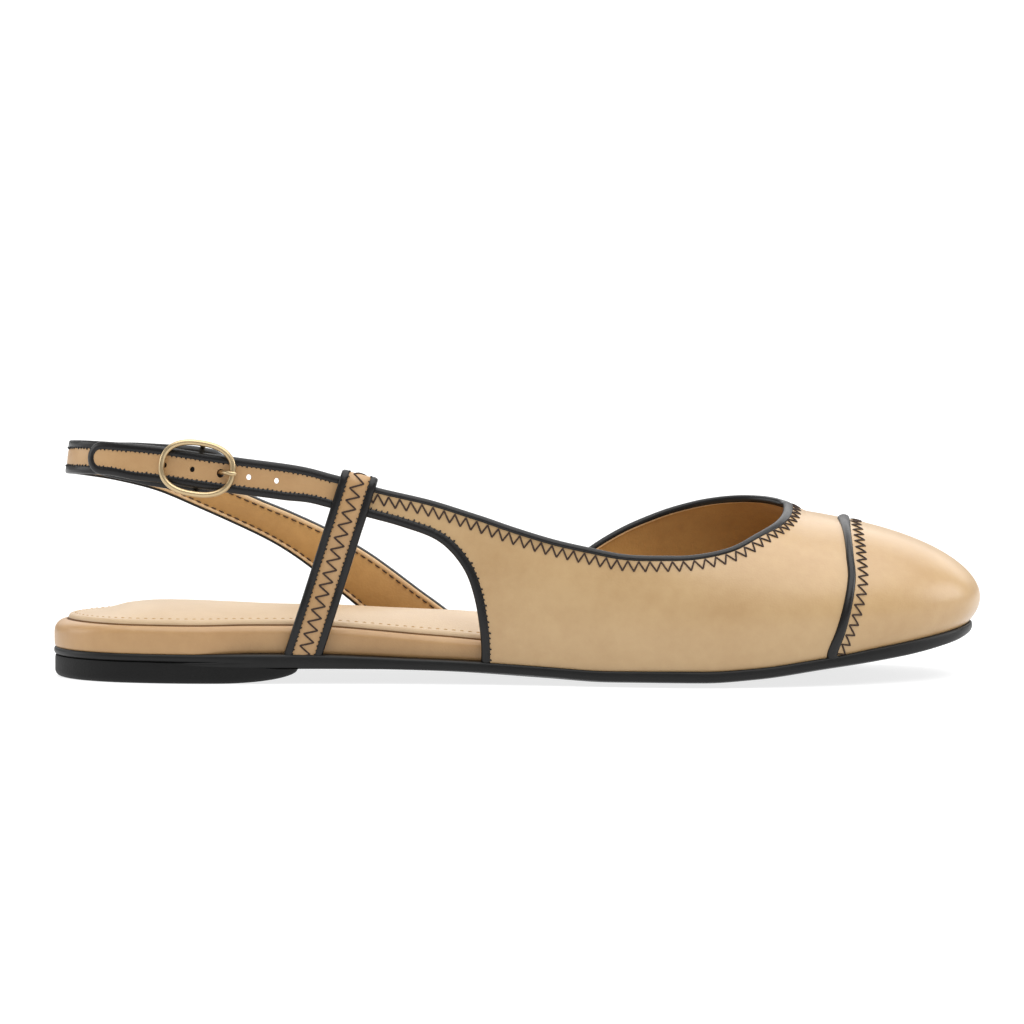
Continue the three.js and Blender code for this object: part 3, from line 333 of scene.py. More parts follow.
def reach(foot, direction):
    """Distance from each foot inside the outline to it, along each direction."""
    start = PLAN[:-1]
    edge = np.diff(PLAN, axis=0)
    dx, dy = direction[:, :1], direction[:, 1:]
    ex = start[:, 0] - foot[:, :1]
    ey = start[:, 1] - foot[:, 1:]
    with np.errstate(divide="ignore", invalid="ignore"):
        cross = dx * edge[:, 1] - dy * edge[:, 0]
        far = (ex * edge[:, 1] - ey * edge[:, 0]) / cross
        share = (ex * dy - ey * dx) / cross
    hit = (far > 0) & (share >= 0) & (share <= 1)
    return np.where(hit, far, np.inf).min(axis=1)


spine_row = column(LAST, "spine")
POLE_X = station(POLE)
HEEL_POLE_X = station(HEEL_POLE)


def spine_y(x):
    return spine_row(x) * BALL_WIDTH / 2


def rays(feet_x, angles):
    feet_x = np.asarray(feet_x, float)
    foot = np.stack([feet_x, spine_y(feet_x)], axis=1)
    direction = np.stack([np.cos(angles), np.sin(angles)], axis=1)
    return foot, direction


def sole_rays(side_count, fan_count, front=POLE_X):
    """Rays once round the shoe from the spine to the outline, or only round the heel as far as front."""
    quarter = math.pi / 2
    turn = np.linspace(-quarter, quarter, fan_count)
    inner_x = np.linspace(front, HEEL_POLE_X, side_count)
    toe_x, toe_turn = ([POLE_X] * fan_count, turn) if front == POLE_X else ([], [])
    x = np.concatenate([toe_x, inner_x[1 if len(toe_x) else 0:-1], [HEEL_POLE_X] * fan_count,
                        inner_x[::-1][1:-1]])
    angle = np.concatenate([
        toe_turn,
        np.full(len(inner_x) - (2 if len(toe_x) else 1), quarter),
        turn + math.pi,
        np.full(len(inner_x) - 2, -quarter),
    ])
    if not len(toe_x):
        x = np.append(x, front)
        angle = np.append(angle, -quarter)
    return rays(x, angle)


# The last and its pattern plane: a is the station along the shoe, b the arc length down from the ridge,
# negative on the outer side. Past the toe pole the arc lengths run out from the pole like spokes

ridge_row = column(LAST, "ridge")
flank_row = column(LAST, "flank")
swell_row = column(LAST, "swell")
full_row = column(LAST, "full")
TABLE_ROWS = 560
TABLE_SHARES = 240
TURNS = np.linspace(0, math.pi / 2, 90)
TUCKS = np.linspace(0, 1, 16)[1:]


def half_sections(foot, direction):
    """Distance from the spine and height of the last's half sections, from the ridge to the sole."""
    forward = direction[:, :1] ** 2
    x = foot[:, :1]
    sole = reach(foot, direction)[:, None]
    widest = sole + BULGE * mix(swell_row(x), 1, forward)
    feather = sole - FEATHER_INSET
    feather_z = sole_top(x + direction[:, :1] * feather) + CLEAR
    widest_z = mix(flank_row(x) * FLANK_HEIGHT, TOE_TIP_HEIGHT, forward)
    ridge_z = mix(TOE_BOX_HEIGHT, INSTEP_HEIGHT, ridge_row(x))
    full = mix(full_row(x), FRONT_FULLNESS, forward)
    r = widest * np.sin(TURNS) ** (2 / full)
    top = ridge_z - TOE_SLOPE * direction[:, :1] * r
    z = widest_z + (top - widest_z) * np.clip(np.cos(TURNS), 0, 1)
    tuck_r = widest - (widest - feather) * TUCKS**2
    tuck_z = mix(widest_z, feather_z, TUCKS)
    return np.concatenate([r, tuck_r], axis=1), np.concatenate([z, tuck_z], axis=1)


def section_table(foot, direction):
    r, z = half_sections(foot, direction)
    arcs = np.cumsum(np.hypot(np.diff(r, axis=1), np.diff(z, axis=1)), axis=1)
    arcs = np.concatenate([np.zeros((len(r), 1)), arcs], axis=1)
    shares = np.linspace(0, 1, TABLE_SHARES)
    r = np.array([np.interp(shares * arc[-1], arc, line) for arc, line in zip(arcs, r)])
    z = np.array([np.interp(shares * arc[-1], arc, line) for arc, line in zip(arcs, z)])
    return r, z, arcs[:, -1]


SIDE_X = np.linspace(station(0.2), POLE_X, TABLE_ROWS)
TOE_TURN = np.linspace(-math.pi / 2, math.pi / 2, TABLE_ROWS)
TABLES = [
    section_table(*rays(SIDE_X, np.full(TABLE_ROWS, -math.pi / 2))),
    section_table(*rays(SIDE_X, np.full(TABLE_ROWS, math.pi / 2))),
    section_table(*rays(np.full(TABLE_ROWS, POLE_X), TOE_TURN)),
]
LAST_R, LAST_Z, LAST_ARC = (np.stack([table[k] for table in TABLES]) for k in range(3))
OUTER, INNER_SIDE, TOE = 0, 1, 2


def row_place(grid, value):
    place = (value - grid[0]) / (grid[1] - grid[0])
    i = np.clip(np.floor(place).astype(int), 0, TABLE_ROWS - 2)
    return i, place - i


def last_point(a, b):
    a, b = np.broadcast_arrays(np.asarray(a, float), np.asarray(b, float))
    behind = a <= POLE_X
    ahead = np.where(behind, 1.0, a - POLE_X)
    arc = np.where(behind, np.abs(b), np.hypot(ahead, b))
    side_i, side_f = row_place(SIDE_X, a)
    toe_i, toe_f = row_place(TOE_TURN, np.arctan2(b, ahead))
    which = np.where(behind, np.where(b > 0, INNER_SIDE, OUTER), TOE)
    i = np.where(behind, side_i, toe_i)
    f = np.where(behind, side_f, toe_f)
    total = mix(LAST_ARC[which, i], LAST_ARC[which, i + 1], f)
    place = arc / total * (TABLE_SHARES - 1)
    j = np.clip(np.floor(place).astype(int), 0, TABLE_SHARES - 2)
    g = place - j

    def read(table):
        near = mix(table[which, i, j], table[which, i, j + 1], g)
        far = mix(table[which, i + 1, j], table[which, i + 1, j + 1], g)
        return mix(near, far, f)

    r = read(LAST_R)
    foot_x = np.where(behind, a, POLE_X)
    dir_x = np.where(behind, 0, ahead / arc.clip(1e-9))
    dir_y = np.where(behind, np.where(b > 0, 1, -1), b / arc.clip(1e-9))
    return np.stack([foot_x + dir_x * r, spine_y(foot_x) + dir_y * r, read(LAST_Z)], axis=-1)


def unit(vectors):
    return vectors / np.linalg.norm(vectors, axis=-1, keepdims=True).clip(1e-12)


def on_last(places, w):
    """Points at a distance w outside the last, over places of the pattern."""
    a, b = places[..., 0], places[..., 1]
    probe = 0.4
    ahead = last_point(a + probe, b) - last_point(a - probe, b)
    down = last_point(a, b + probe) - last_point(a, b - probe)
    normal = unit(np.cross(ahead, down))
    return last_point(a, b) + normal * np.asarray(w, float)[..., None]


def section_at(which, grid, value, height):
    """Arc length down a half section to a height, and its distance from the spine."""
    i, f = row_place(grid, value)
    z = mix(LAST_Z[which, i], LAST_Z[which, i + 1], f)
    r = mix(LAST_R[which, i], LAST_R[which, i + 1], f)
    total = mix(LAST_ARC[which, i], LAST_ARC[which, i + 1], f)
    share = np.interp(-height, -z, np.linspace(0, 1, TABLE_SHARES))
    return share * total, np.interp(share, np.linspace(0, 1, TABLE_SHARES), r)


def pattern_at(x, height, side):
    """Pattern place of the point at a station and a height, on the outer (-1) or inner (1) side."""
    if x <= POLE_X:
        arc, _ = section_at(OUTER if side < 0 else INNER_SIDE, SIDE_X, x, height)
        return np.array([x, side * arc])
    sideways, ahead = side * math.pi / 2, 0.0
    for _ in range(24):
        turn = (sideways + ahead) / 2
        _, r = section_at(TOE, TOE_TURN, turn, height)
        if POLE_X + math.cos(turn) * r < x:
            sideways = turn
        else:
            ahead = turn
    arc, _ = section_at(TOE, TOE_TURN, ahead, height)
    return np.array([POLE_X + math.cos(ahead) * arc, math.sin(ahead) * arc])


def ridge_height(x):
    return mix(TOE_BOX_HEIGHT, INSTEP_HEIGHT, ridge_row(x))


def total_arc(which, grid, value):
    i, f = row_place(grid, value)
    return mix(LAST_ARC[which, i], LAST_ARC[which, i + 1], f)


def side_foot(x, side, inset=0.0):
    """Pattern place above the sole at a station of one side."""
    arc = total_arc(OUTER if side < 0 else INNER_SIDE, SIDE_X, x)
    return np.stack([x, side * (arc - inset)], axis=-1)


def toe_foot(turn, inset=0.0):
    arc = total_arc(TOE, TOE_TURN, turn) - inset
    return np.stack([POLE_X + np.cos(turn) * arc, np.sin(turn) * arc], axis=-1)


def smooth_line(points, count):
    return even(centripetal(points)[0], count)


def beside_line(line, distance):
    """The line moved to its left by a real distance on the last."""
    ahead = np.concatenate([line[1:], line[-1:]])
    behind = np.concatenate([line[:1], line[:-1]])
    run = ahead - behind
    left = unit(np.stack([-run[:, 1], run[:, 0]], axis=1))
    probe = 0.5
    places = np.stack([line - left * probe, line + left * probe])
    ends = last_point(places[..., 0], places[..., 1])
    stretch = np.linalg.norm(ends[1] - ends[0], axis=1) / (2 * probe)
    return line + left * (np.asarray(distance) / stretch)[:, None]


# Lines of the upper, whose ends run this far past its lower edge into the sole
FEATHER_TUCK = -0.35
WING_END_X = station(WING_END)
WING_SLANT = STRAP_WIDTH / 2 * math.sin(WING_TILT)


def line_height(table, x):
    return column(table, "height")(x) * ridge_height(x)


def row_places(table, side, first=-math.inf):
    return [
        pattern_at(x, height * ridge_height(x), side)
        for x, height in zip(station(table["at"]), table["height"])
        if x > first
    ]


def from_wing_end(table, x):
    start = pattern_at(x, float(line_height(table, x)), -1)
    return [start, *row_places(table, -1, x + 1)]


def topline_line():
    outer = from_wing_end(WING, WING_END_X + WING_SLANT)
    inner = row_places(INNER, 1)
    end = side_foot(station(0.478), 1, FEATHER_TUCK)
    return smooth_line([*outer, (station(THROAT_FRONT), 0), *inner, end], 620)


def cutout_line():
    places = from_wing_end(CUTOUT, WING_END_X - WING_SLANT)
    return smooth_line([*places, side_foot(places[-1][0], -1, FEATHER_TUCK)], 260)


def seam_line():
    sides = {
        side: [pattern_at(station(at), height * TOE_BOX_HEIGHT, side)
               for at, height in zip(SEAM["at"], SEAM["height"])]
        for side in (-1, 1)
    }
    ahead = TABLE_ROWS // 2
    shares = np.linspace(0, 1, TABLE_SHARES) * LAST_ARC[TOE, ahead]
    top = np.interp(station(SEAM_TOP) - POLE_X, LAST_R[TOE, ahead], shares)
    ends = {
        side: toe_foot(math.atan2(sides[side][-1][1], sides[side][-1][0] - POLE_X), FEATHER_TUCK)
        for side in (-1, 1)
    }
    return smooth_line([ends[-1], *sides[-1][::-1], (POLE_X + top, 0), *sides[1], ends[1]], 300)


TOPLINE = topline_line()
CUTOUT_LINE = cutout_line()
SEAM_LINE = seam_line()


# Materials

def node(tree, kind, settings=None, **inputs):
    """A node with its settings and inputs, where an input is a value or another node's output."""
    made = tree.nodes.new(kind)
    for name, value in (settings or {}).items():
        setattr(made, name, value)
    for name, value in inputs.items():
        socket = made.inputs[name.replace("_", " ")]
        if isinstance(value, bpy.types.NodeSocket):
            tree.links.new(value, socket)
        else:
            socket.default_value = value
    return made


def linear(hex_colour):
    """The colour of a hex code as linear light."""
    parts = [int(hex_colour[i:i + 2], 16) / 255 for i in (0, 2, 4)]
    return [part / 12.92 if part <= 0.04045 else ((part + 0.055) / 1.055) ** 2.4 for part in parts] + [1.0]


def surface_material(name, dark, light, grain, depth, rough, patch=28.0, **shader):
    """Material whose colour drifts between two tones, with a grain of that size and depth in mm."""
    material = bpy.data.materials.new(name)
    material.use_nodes = True
    tree = material.node_tree
    tree.nodes.clear()
    place = node(tree, "ShaderNodeTexCoord").outputs["Object"]
    drift = node(tree, "ShaderNodeTexNoise", Vector=place, Scale=1 / (patch * MM), Detail=3.0, Roughness=0.55)
    mottle = node(tree, "ShaderNodeTexNoise", Vector=place, Scale=1 / (patch * MM / 9), Detail=4.0,
                  Roughness=0.6)
    blend = node(tree, "ShaderNodeMath", {"operation": "MULTIPLY_ADD"})
    tree.links.new(drift.outputs["Fac"], blend.inputs[0])
    blend.inputs[1].default_value = 0.7
    share = node(tree, "ShaderNodeMath", {"operation": "MULTIPLY"})
    tree.links.new(mottle.outputs["Fac"], share.inputs[0])
    share.inputs[1].default_value = 0.3
    tree.links.new(share.outputs[0], blend.inputs[2])
    ramp = node(tree, "ShaderNodeValToRGB", Fac=blend.outputs[0])
    ramp.color_ramp.elements[0].position = 0.36
    ramp.color_ramp.elements[0].color = linear(dark)
    ramp.color_ramp.elements[1].position = 0.64
    ramp.color_ramp.elements[1].color = linear(light)
    colour = ramp.outputs["Color"]
    cells = node(tree, "ShaderNodeTexVoronoi", {"feature": "SMOOTH_F1"}, Vector=place, Scale=1 / (grain * MM),
                 Smoothness=0.35)
    pores = node(tree, "ShaderNodeTexNoise", Vector=place, Scale=2.4 / (grain * MM), Detail=3.0,
                 Roughness=0.7)
    relief = node(tree, "ShaderNodeMath", {"operation": "MULTIPLY_ADD"})
    tree.links.new(pores.outputs["Fac"], relief.inputs[0])
    relief.inputs[1].default_value = 0.6
    tree.links.new(cells.outputs["Distance"], relief.inputs[2])
    bump = node(tree, "ShaderNodeBump", Height=relief.outputs[0], Strength=1.0, Distance=depth * MM)
    gloss = node(tree, "ShaderNodeMapRange", Value=mottle.outputs["Fac"])
    gloss.inputs["To Min"].default_value = rough - 0.06
    gloss.inputs["To Max"].default_value = rough + 0.06
    principled = node(tree, "ShaderNodeBsdfPrincipled", Base_Color=colour, Roughness=gloss.outputs[0],
                      Normal=bump.outputs[0], **shader)
    node(tree, "ShaderNodeOutputMaterial", Surface=principled.outputs[0])
    return material


LEATHER = surface_material("tan_leather", "AE8D62", "BA9B70", 0.55, 0.022, 0.36, Coat_Weight=0.25,
                           Coat_Roughness=0.3)
WRAP_LEATHER = surface_material("wrap_leather", "A88256", "B48F62", 0.55, 0.022, 0.40, Coat_Weight=0.1,
                                Coat_Roughness=0.3)
SOCK_LEATHER = surface_material("sock_leather", "B89C79", "C4AA87", 0.55, 0.026, 0.44, Sheen_Weight=0.1)
LINING = surface_material("tan_lining", "A97E46", "BE9255", 0.7, 0.035, 0.52, Sheen_Weight=0.1)
TURNED_EDGE = surface_material("turned_edge", "CDAA7E", "DDBE94", 0.4, 0.03, 0.5)
# Dark brown of the strip in the groove under the sock's edge: painted shade that darkens the groove where it
# lies in shadow.
SEAM_PAINTED_SHADE = surface_material("seam_painted_shade", "5A3C1E", "7A5630", 0.4, 0.03, 0.7)
BLACK_LEATHER = surface_material("black_leather", "080707", "121010", 0.5, 0.020, 0.33,
                                 Specular_IOR_Level=0.35)
RUBBER = surface_material("black_rubber", "0A0A0A", "121212", 0.35, 0.012, 0.45, Specular_IOR_Level=0.3)
TREAD_RUBBER = surface_material("tread_rubber", "090909", "101010", 0.6, 0.04, 0.6, Specular_IOR_Level=0.25)
THREAD = surface_material("brown_thread", "2A1A12", "3C281C", 0.2, 0.03, 0.75)
BLACK_THREAD = surface_material("black_thread", "0C0A09", "1A1512", 0.2, 0.03, 0.65)
PALE_THREAD = surface_material("pale_thread", "B08A5C", "C4A072", 0.2, 0.03, 0.7)
GOLD = surface_material("pale_gold", "B8A27E", "C8B28C", 0.8, 0.003, 0.34, Metallic=1.0)


# Meshes

def piece(name, points, faces, material, replaces=(), sharp=50):
    mesh = bpy.data.meshes.new(name)
    points = (np.asarray(points).reshape(-1, 3) + SHIFT) * MM
    mesh.from_pydata(points.tolist(), [], faces)
    mesh.validate()
    mesh.shade_smooth()
    mesh.set_sharp_from_angle(angle=math.radians(sharp))
    mesh.materials.append(material)
    made = bpy.data.objects.new(name, mesh)
    bpy.context.collection.objects.link(made)
    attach(made, "root")
    if replaces:
        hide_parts(*replaces)
    return made


def grid_faces(rings, count, closed_rings=False, closed_ring=True, first=0):
    """Quads between rings of count points, from the vertex first on."""
    ring = np.arange(rings if closed_rings else rings - 1)[:, None]
    side = np.arange(count if closed_ring else count - 1)[None, :]
    here = first + ring * count
    there = first + (ring + 1) % rings * count
    after = (side + 1) % count
    quads = np.stack([here + side, here + after, there + after, there + side], axis=-1)
    return quads.reshape(-1, 4).tolist()


def loft(name, rings, material, replaces=(), closed_rings=False, caps=True, sharp=50):
    """Closed skin through rings of points."""
    rings = np.asarray(rings)
    number, count = rings.shape[:2]
    faces = grid_faces(number, count, closed_rings)
    if caps and not closed_rings:
        faces.append(list(range(count))[::-1])
        faces.append(list(range((number - 1) * count, number * count)))
    if volume(rings.reshape(-1, 3), faces) < 0:
        faces = [face[::-1] for face in faces]
    return piece(name, rings, faces, material, replaces, sharp)


def volume(points, faces):
    quads = np.array([face for face in faces if len(face) == 4])
    a, b, c, d = (points[quads[:, k]] for k in range(4))
    return np.sum(a * np.cross(b, c)) + np.sum(a * np.cross(c, d))


def boundary(faces):
    """Edges that only one face has, in that face's direction."""
    seen = {}
    for face in faces:
        for here, there in zip(face, face[1:] + face[:1]):
            seen[(here, there)] = True
    return [(here, there) for here, there in seen if (there, here) not in seen]


def slab(name, places, faces, surface, low, high, material, replaces=(), sharp=50):
    """Sheet of a surface's places with a thickness, its faces seen from the high side."""
    top = surface(places, np.full(len(places), high))
    bottom = surface(places, np.full(len(places), low))
    count = len(places)
    walls = [[there, here, here + count, there + count] for here, there in boundary(faces)]
    under = [[corner + count for corner in face[::-1]] for face in faces]
    points = np.concatenate([top, bottom])
    whole = faces + under + walls
    if volume(points, whole) < 0:
        whole = [face[::-1] for face in whole]
    return piece(name, points, whole, material, replaces, sharp)


def tubes(name, paths, outs, radius, material, sides=6):
    """Round threads, one through each path of points. outs are the ways out of the surface."""
    run = unit(np.gradient(paths, axis=1))
    across = unit(np.cross(run, outs))
    up = np.cross(across, run)
    turn = np.arange(sides) / sides * 2 * math.pi
    size = np.asarray(radius, float)[..., None, None]
    rings = paths[:, :, None] + size * (
        across[:, :, None] * np.cos(turn)[:, None] + up[:, :, None] * np.sin(turn)[:, None])
    number, count = rings.shape[:2]
    faces = []
    for k in range(number):
        first = k * count * sides
        faces += grid_faces(count, sides, first=first)
        faces.append(list(range(first, first + sides))[::-1])
        faces.append(list(range(first + (count - 1) * sides, first + count * sides)))
    return piece(name, rings, faces, material)


def stitches(name, starts, ends, surface, radius, high, material, points=7, sunk=1.4, thin=0.7):
    """One thread from each start to each end over a surface, its ends sunk and thinned by a share."""
    share = np.linspace(0, 1, points)
    arch = np.sin(share * math.pi) ** 0.6
    places = starts[:, None] + (ends - starts)[:, None] * share[:, None]
    height = mix(-radius * sunk, high, arch) * np.ones(len(starts))[:, None]
    paths = surface(places, height)
    outs = unit(surface(places, height + 0.5) - paths)
    size = radius * mix(thin, 1.0, arch) * np.ones(len(starts))[:, None]
    return tubes(name, paths, outs, size, material)


def zigzag(line_near, line_far, real_line, periods):
    """Starts and ends of zigzag stitches between two lines, whose period may change along them."""
    arcs = arc_lengths(real_line)
    turns = np.concatenate([[0], np.cumsum(np.diff(arcs) * 2 / ((periods[1:] + periods[:-1]) / 2))])
    corners = np.interp(np.arange(0.5, turns[-1]), turns, arcs)
    near = along(line_near, arcs, corners)
    far = along(line_far, arcs, corners)
    odd = np.arange(len(corners))[:, None] % 2 == 1
    places = np.where(odd, far, near)
    return places[:-1], places[1:]


# Sole

RAYS = sole_rays(200, 90)
REACHES = reach(*RAYS)


def sole_ring(ring_rays, reaches, share, inset, height):
    """Ring of the sole at a share of the reach less an inset; both may depend on the station."""
    foot, direction = ring_rays
    edge_x = foot[:, 0] + direction[:, 0] * reaches
    far = (reaches - (inset(edge_x) if callable(inset) else inset)) * share
    x = foot[:, 0] + direction[:, 0] * far
    y = foot[:, 1] + direction[:, 1] * far
    return np.stack([x, y, height(x) * np.ones(len(x))], axis=1)


# The heel's rim: a bead with a groove under it, that fades out along the waist
RIM_FADE = (station(0.09), station(0.24))
GROOVE_LEVEL = 0.44


def rim_share(x):
    return 1 - smooth_step(x, *RIM_FADE)


def make_outsole():
    def level(part, plain=None):
        plain = part if plain is None else plain
        return lambda x: mix(sole_edge(x), sole_top(x), mix(plain, part, rim_share(x)))

    def edge(plain, rim):
        return lambda x: mix(plain, rim, rim_share(x))

    profile = [
        (0.0, 0.0, sole_centre), (0.25, 0.0, sole_centre), (0.55, 0.0, sole_centre),
        (0.75, 0.0, lambda x: mix(sole_centre(x), sole_edge(x), 0.32)),
        (0.9, 0.0, lambda x: mix(sole_centre(x), sole_edge(x), 0.68)),
        (1.0, 1.6, lambda x: mix(sole_centre(x), sole_edge(x), 0.93)),
        (1.0, 0.85, level(0.0)), (1.0, 0.5, level(0.05)), (1.0, edge(0.26, 0.45), level(0.14)),
        (1.0, edge(0.10, 0.45), level(0.27)), (1.0, edge(0.03, 0.5), level(GROOVE_LEVEL - 0.06)),
        (1.0, edge(0.0, 0.95), level(GROOVE_LEVEL)), (1.0, edge(0.0, 0.55), level(GROOVE_LEVEL + 0.05)),
        (1.0, edge(0.0, 0.2), level(GROOVE_LEVEL + 0.12)), (1.0, edge(0.02, 0.04), level(0.66)),
        (1.0, edge(0.06, 0.0), level(0.76)), (1.0, edge(0.14, 0.06), level(0.86)),
        (1.0, edge(0.3, 0.24), level(0.94)), (1.0, 0.6, level(0.985)), (1.0, 0.95, level(1.0)),
        (1.0, 3.2, level(1.0)), (0.6, 0.0, sole_top), (0.0, 0.0, sole_top),
    ]
    rings = [sole_ring(RAYS, REACHES, share, inset, height) for share, inset, height in profile]
    loft("outsole_body", rings, RUBBER, ["outsole"], caps=False)


def make_heel_block():
    front = station(HEEL_BACK) + HEEL_BLOCK_LENGTH
    block_rays = sole_rays(70, 90, front=front)
    reaches = reach(*block_rays)
    corner = 1.9
    side_inset = 0.3

    def foot_height(x):
        rise = np.clip((x - (front - HEEL_RISE_LENGTH)) / HEEL_RISE_LENGTH, 0, 1)
        return HEEL_HEIGHT * (1 - np.sqrt(1 - rise**2))

    def groove(x):
        return mix(sole_edge(x), sole_top(x), (GROOVE_LEVEL - 0.03) * rim_share(x) ** 0.5)

    def level(up):
        return lambda x: np.minimum(foot_height(x) + up, groove(x))

    profile = [(0.0, 0.0, level(0)), (0.5, 0.0, level(0)), (1.0, side_inset + corner * 2, level(0))]
    for turn in np.linspace(0, math.pi / 2, 9):
        inset = side_inset + corner * (1 - math.sin(turn))
        profile.append((1.0, inset, level(corner * (1 - math.cos(turn)))))
    for share in (0.3, 0.6, 0.85):
        profile.append((1.0, side_inset, lambda x, share=share: mix(level(corner)(x), groove(x), share)))
    profile.append((1.0, side_inset + 0.12, groove))
    profile.append((1.0, side_inset + 0.9, groove))
    rings = np.array([sole_ring(block_rays, reaches, share, inset, height)
                      for share, inset, height in profile])
    points = rings.reshape(-1, 3)
    faces = grid_faces(*rings.shape[:2], closed_ring=False)
    piece("heel_lift", points, [face[::-1] for face in faces], TREAD_RUBBER, ["heel_block"])


def footbed_inset(x):
    share = smooth_step(x / LENGTH + 0.5, 0.15, 0.22)
    return mix(FOOTBED_SET_BACK, FEATHER_INSET + WALL + 2 * CLEAR, share)


# The seam between footbed and sock: the footbed's cover ends under its top, below the sock's edge
SEAM_DROP = 0.75
SEAM_GAP = 0.35
SOCK_EDGE_RISE = 0.85


def shoulder(x):
    """Radius of the footbed's upper edge, larger at the heel's back."""
    return mix(3.4, 2.0, smooth_step(x / LENGTH + 0.5, 0.015, 0.08))


def seam_inset(x):
    return shoulder(x) * 0.95 + 0.2


def seam_level(x):
    return bed_top(x) - SEAM_DROP


# Height of the sock's cushion over its edge, in mm
CUSHION = rows(
    "at height",
    (0.020, 0.0), (0.050, 0.9), (0.082, 3.0), (0.120, 3.3), (0.190, 2.8), (0.257, 2.2), (0.330, 2.7),
    (0.406, 3.5), (0.457, 3.8), (0.530, 3.6), (0.620, 3.0), (0.760, 2.6), (1.000, 2.6),
)
cushion = column(CUSHION, "height")


def sock_height(x, share):
    """The sock's face, domed from its edge to the middle."""
    return bed_top(x) + SOCK_EDGE_RISE + cushion(x) * (1 - share**2)


def make_footbed():
    def inset(more):
        return lambda x: footbed_inset(x) + more

    def at_seam(more):
        return lambda x: footbed_inset(x) + seam_inset(x) + more

    def over_seam(up):
        return lambda x: seam_level(x) + up

    profile = [(1.0, inset(2.0), lambda x: sole_top(x) - 0.2),
               (1.0, inset(0.45), lambda x: sole_top(x) - 0.1),
               (1.0, inset(0.15), lambda x: sole_top(x) + 0.3),
               (1.0, inset(0.03), lambda x: sole_top(x) + 1.0),
               (1.0, inset(0.0), lambda x: mix(sole_top(x), seam_level(x), 0.45))]
    for turn in np.linspace(0, math.pi / 2, 10):
        back, down = 0.95 * (1 - math.cos(turn)), 1 - math.sin(turn)
        profile.append((1.0, lambda x, back=back: footbed_inset(x) + shoulder(x) * back,
                        lambda x, down=down: seam_level(x) - shoulder(x) * down))
    profile += [(1.0, at_seam(0), over_seam(-0.25)), (1.0, at_seam(0.1), over_seam(-0.9)),
                (1.0, at_seam(2.0), over_seam(-0.9))]
    rings = [sole_ring(RAYS, REACHES, share, more, height) for share, more, height in profile]
    loft("footbed_wrap", rings, WRAP_LEATHER, ["footbed"], caps=False)
    # A dark brown strip along the groove below the sock's edge. Its colour is painted shade for the shadowed
    # groove, not a leather of its own.
    seam = [(0.08, -0.75), (0.12, 0.05), (0.3, 0.38), (0.9, 0.42), (0.9, -0.75)]
    rings = [sole_ring(RAYS, REACHES, 1.0, at_seam(more), over_seam(up)) for more, up in seam]
    loft("sock_seam_painted_shade", rings, SEAM_PAINTED_SHADE, closed_rings=True, caps=False)


def make_sock():
    def inset(more):
        return lambda x: footbed_inset(x) + seam_inset(x) + SEAM_GAP + more

    round_over = 1.1
    profile = [(1.0, inset(0.1), lambda x: seam_level(x) - 0.8),
               (1.0, inset(0.0), lambda x: seam_level(x) - 0.1)]
    for turn in np.linspace(0, math.pi / 2, 8):
        back = round_over * (1 - math.cos(turn))
        up = (SOCK_EDGE_RISE + SEAM_DROP) * math.sin(turn)
        profile.append((1.0, inset(back), lambda x, up=up: seam_level(x) + up))
    for share in (0.97, 0.93, 0.86, 0.76, 0.64, 0.5, 0.34, 0.17, 0.0):
        profile.append((share, inset(round_over), lambda x, share=share: sock_height(x, share)))
    rings = [sole_ring(RAYS, REACHES, share, more, height) for share, more, height in profile]
    loft("sock", rings, SOCK_LEATHER, ["insole_sock"], caps=False)
    row_share = 0.965
    row = sole_ring(RAYS, REACHES, row_share, inset(round_over), lambda x: sock_height(x, row_share))
    row = np.concatenate([row, row[:1]])
    front = 40.0
    ends = [np.argmin(np.abs(row[:, 0] - front) + np.where(row[:, 1] * side > 0, 0, 1e3)) for side in (1, -1)]
    behind = row[ends[0]:ends[1]]
    arcs = arc_lengths(behind)
    pitch, length = 2.2, 1.3
    starts = np.arange(0, arcs[-1] - pitch, pitch)

    def raised(places, w):
        return places + np.asarray(w)[..., None] * np.array([0, 0, 1.0])

    stitches("sock_stitches", along(behind, arcs, starts), along(behind, arcs, starts + length), raised,
             0.15, 0.02, PALE_THREAD)


# Upper

def edge_path(parts, counts):
    """Points along lines one after the other, with as many points on each as counts says."""
    return np.concatenate([even(part, count)[:-1] for part, count in zip(parts, counts)] + [parts[-1][-1:]])


def arc_place(line, x, side):
    """Arc length along a pattern line to where it passes a station on one side."""
    arcs = arc_lengths(line)
    near = np.where(np.sign(line[:, 1]) == side, np.abs(line[:, 0] - x), np.inf)
    return arcs[np.argmin(near)]


VAMP_FRONT = 52.0
CUT_CORNER = 0.0


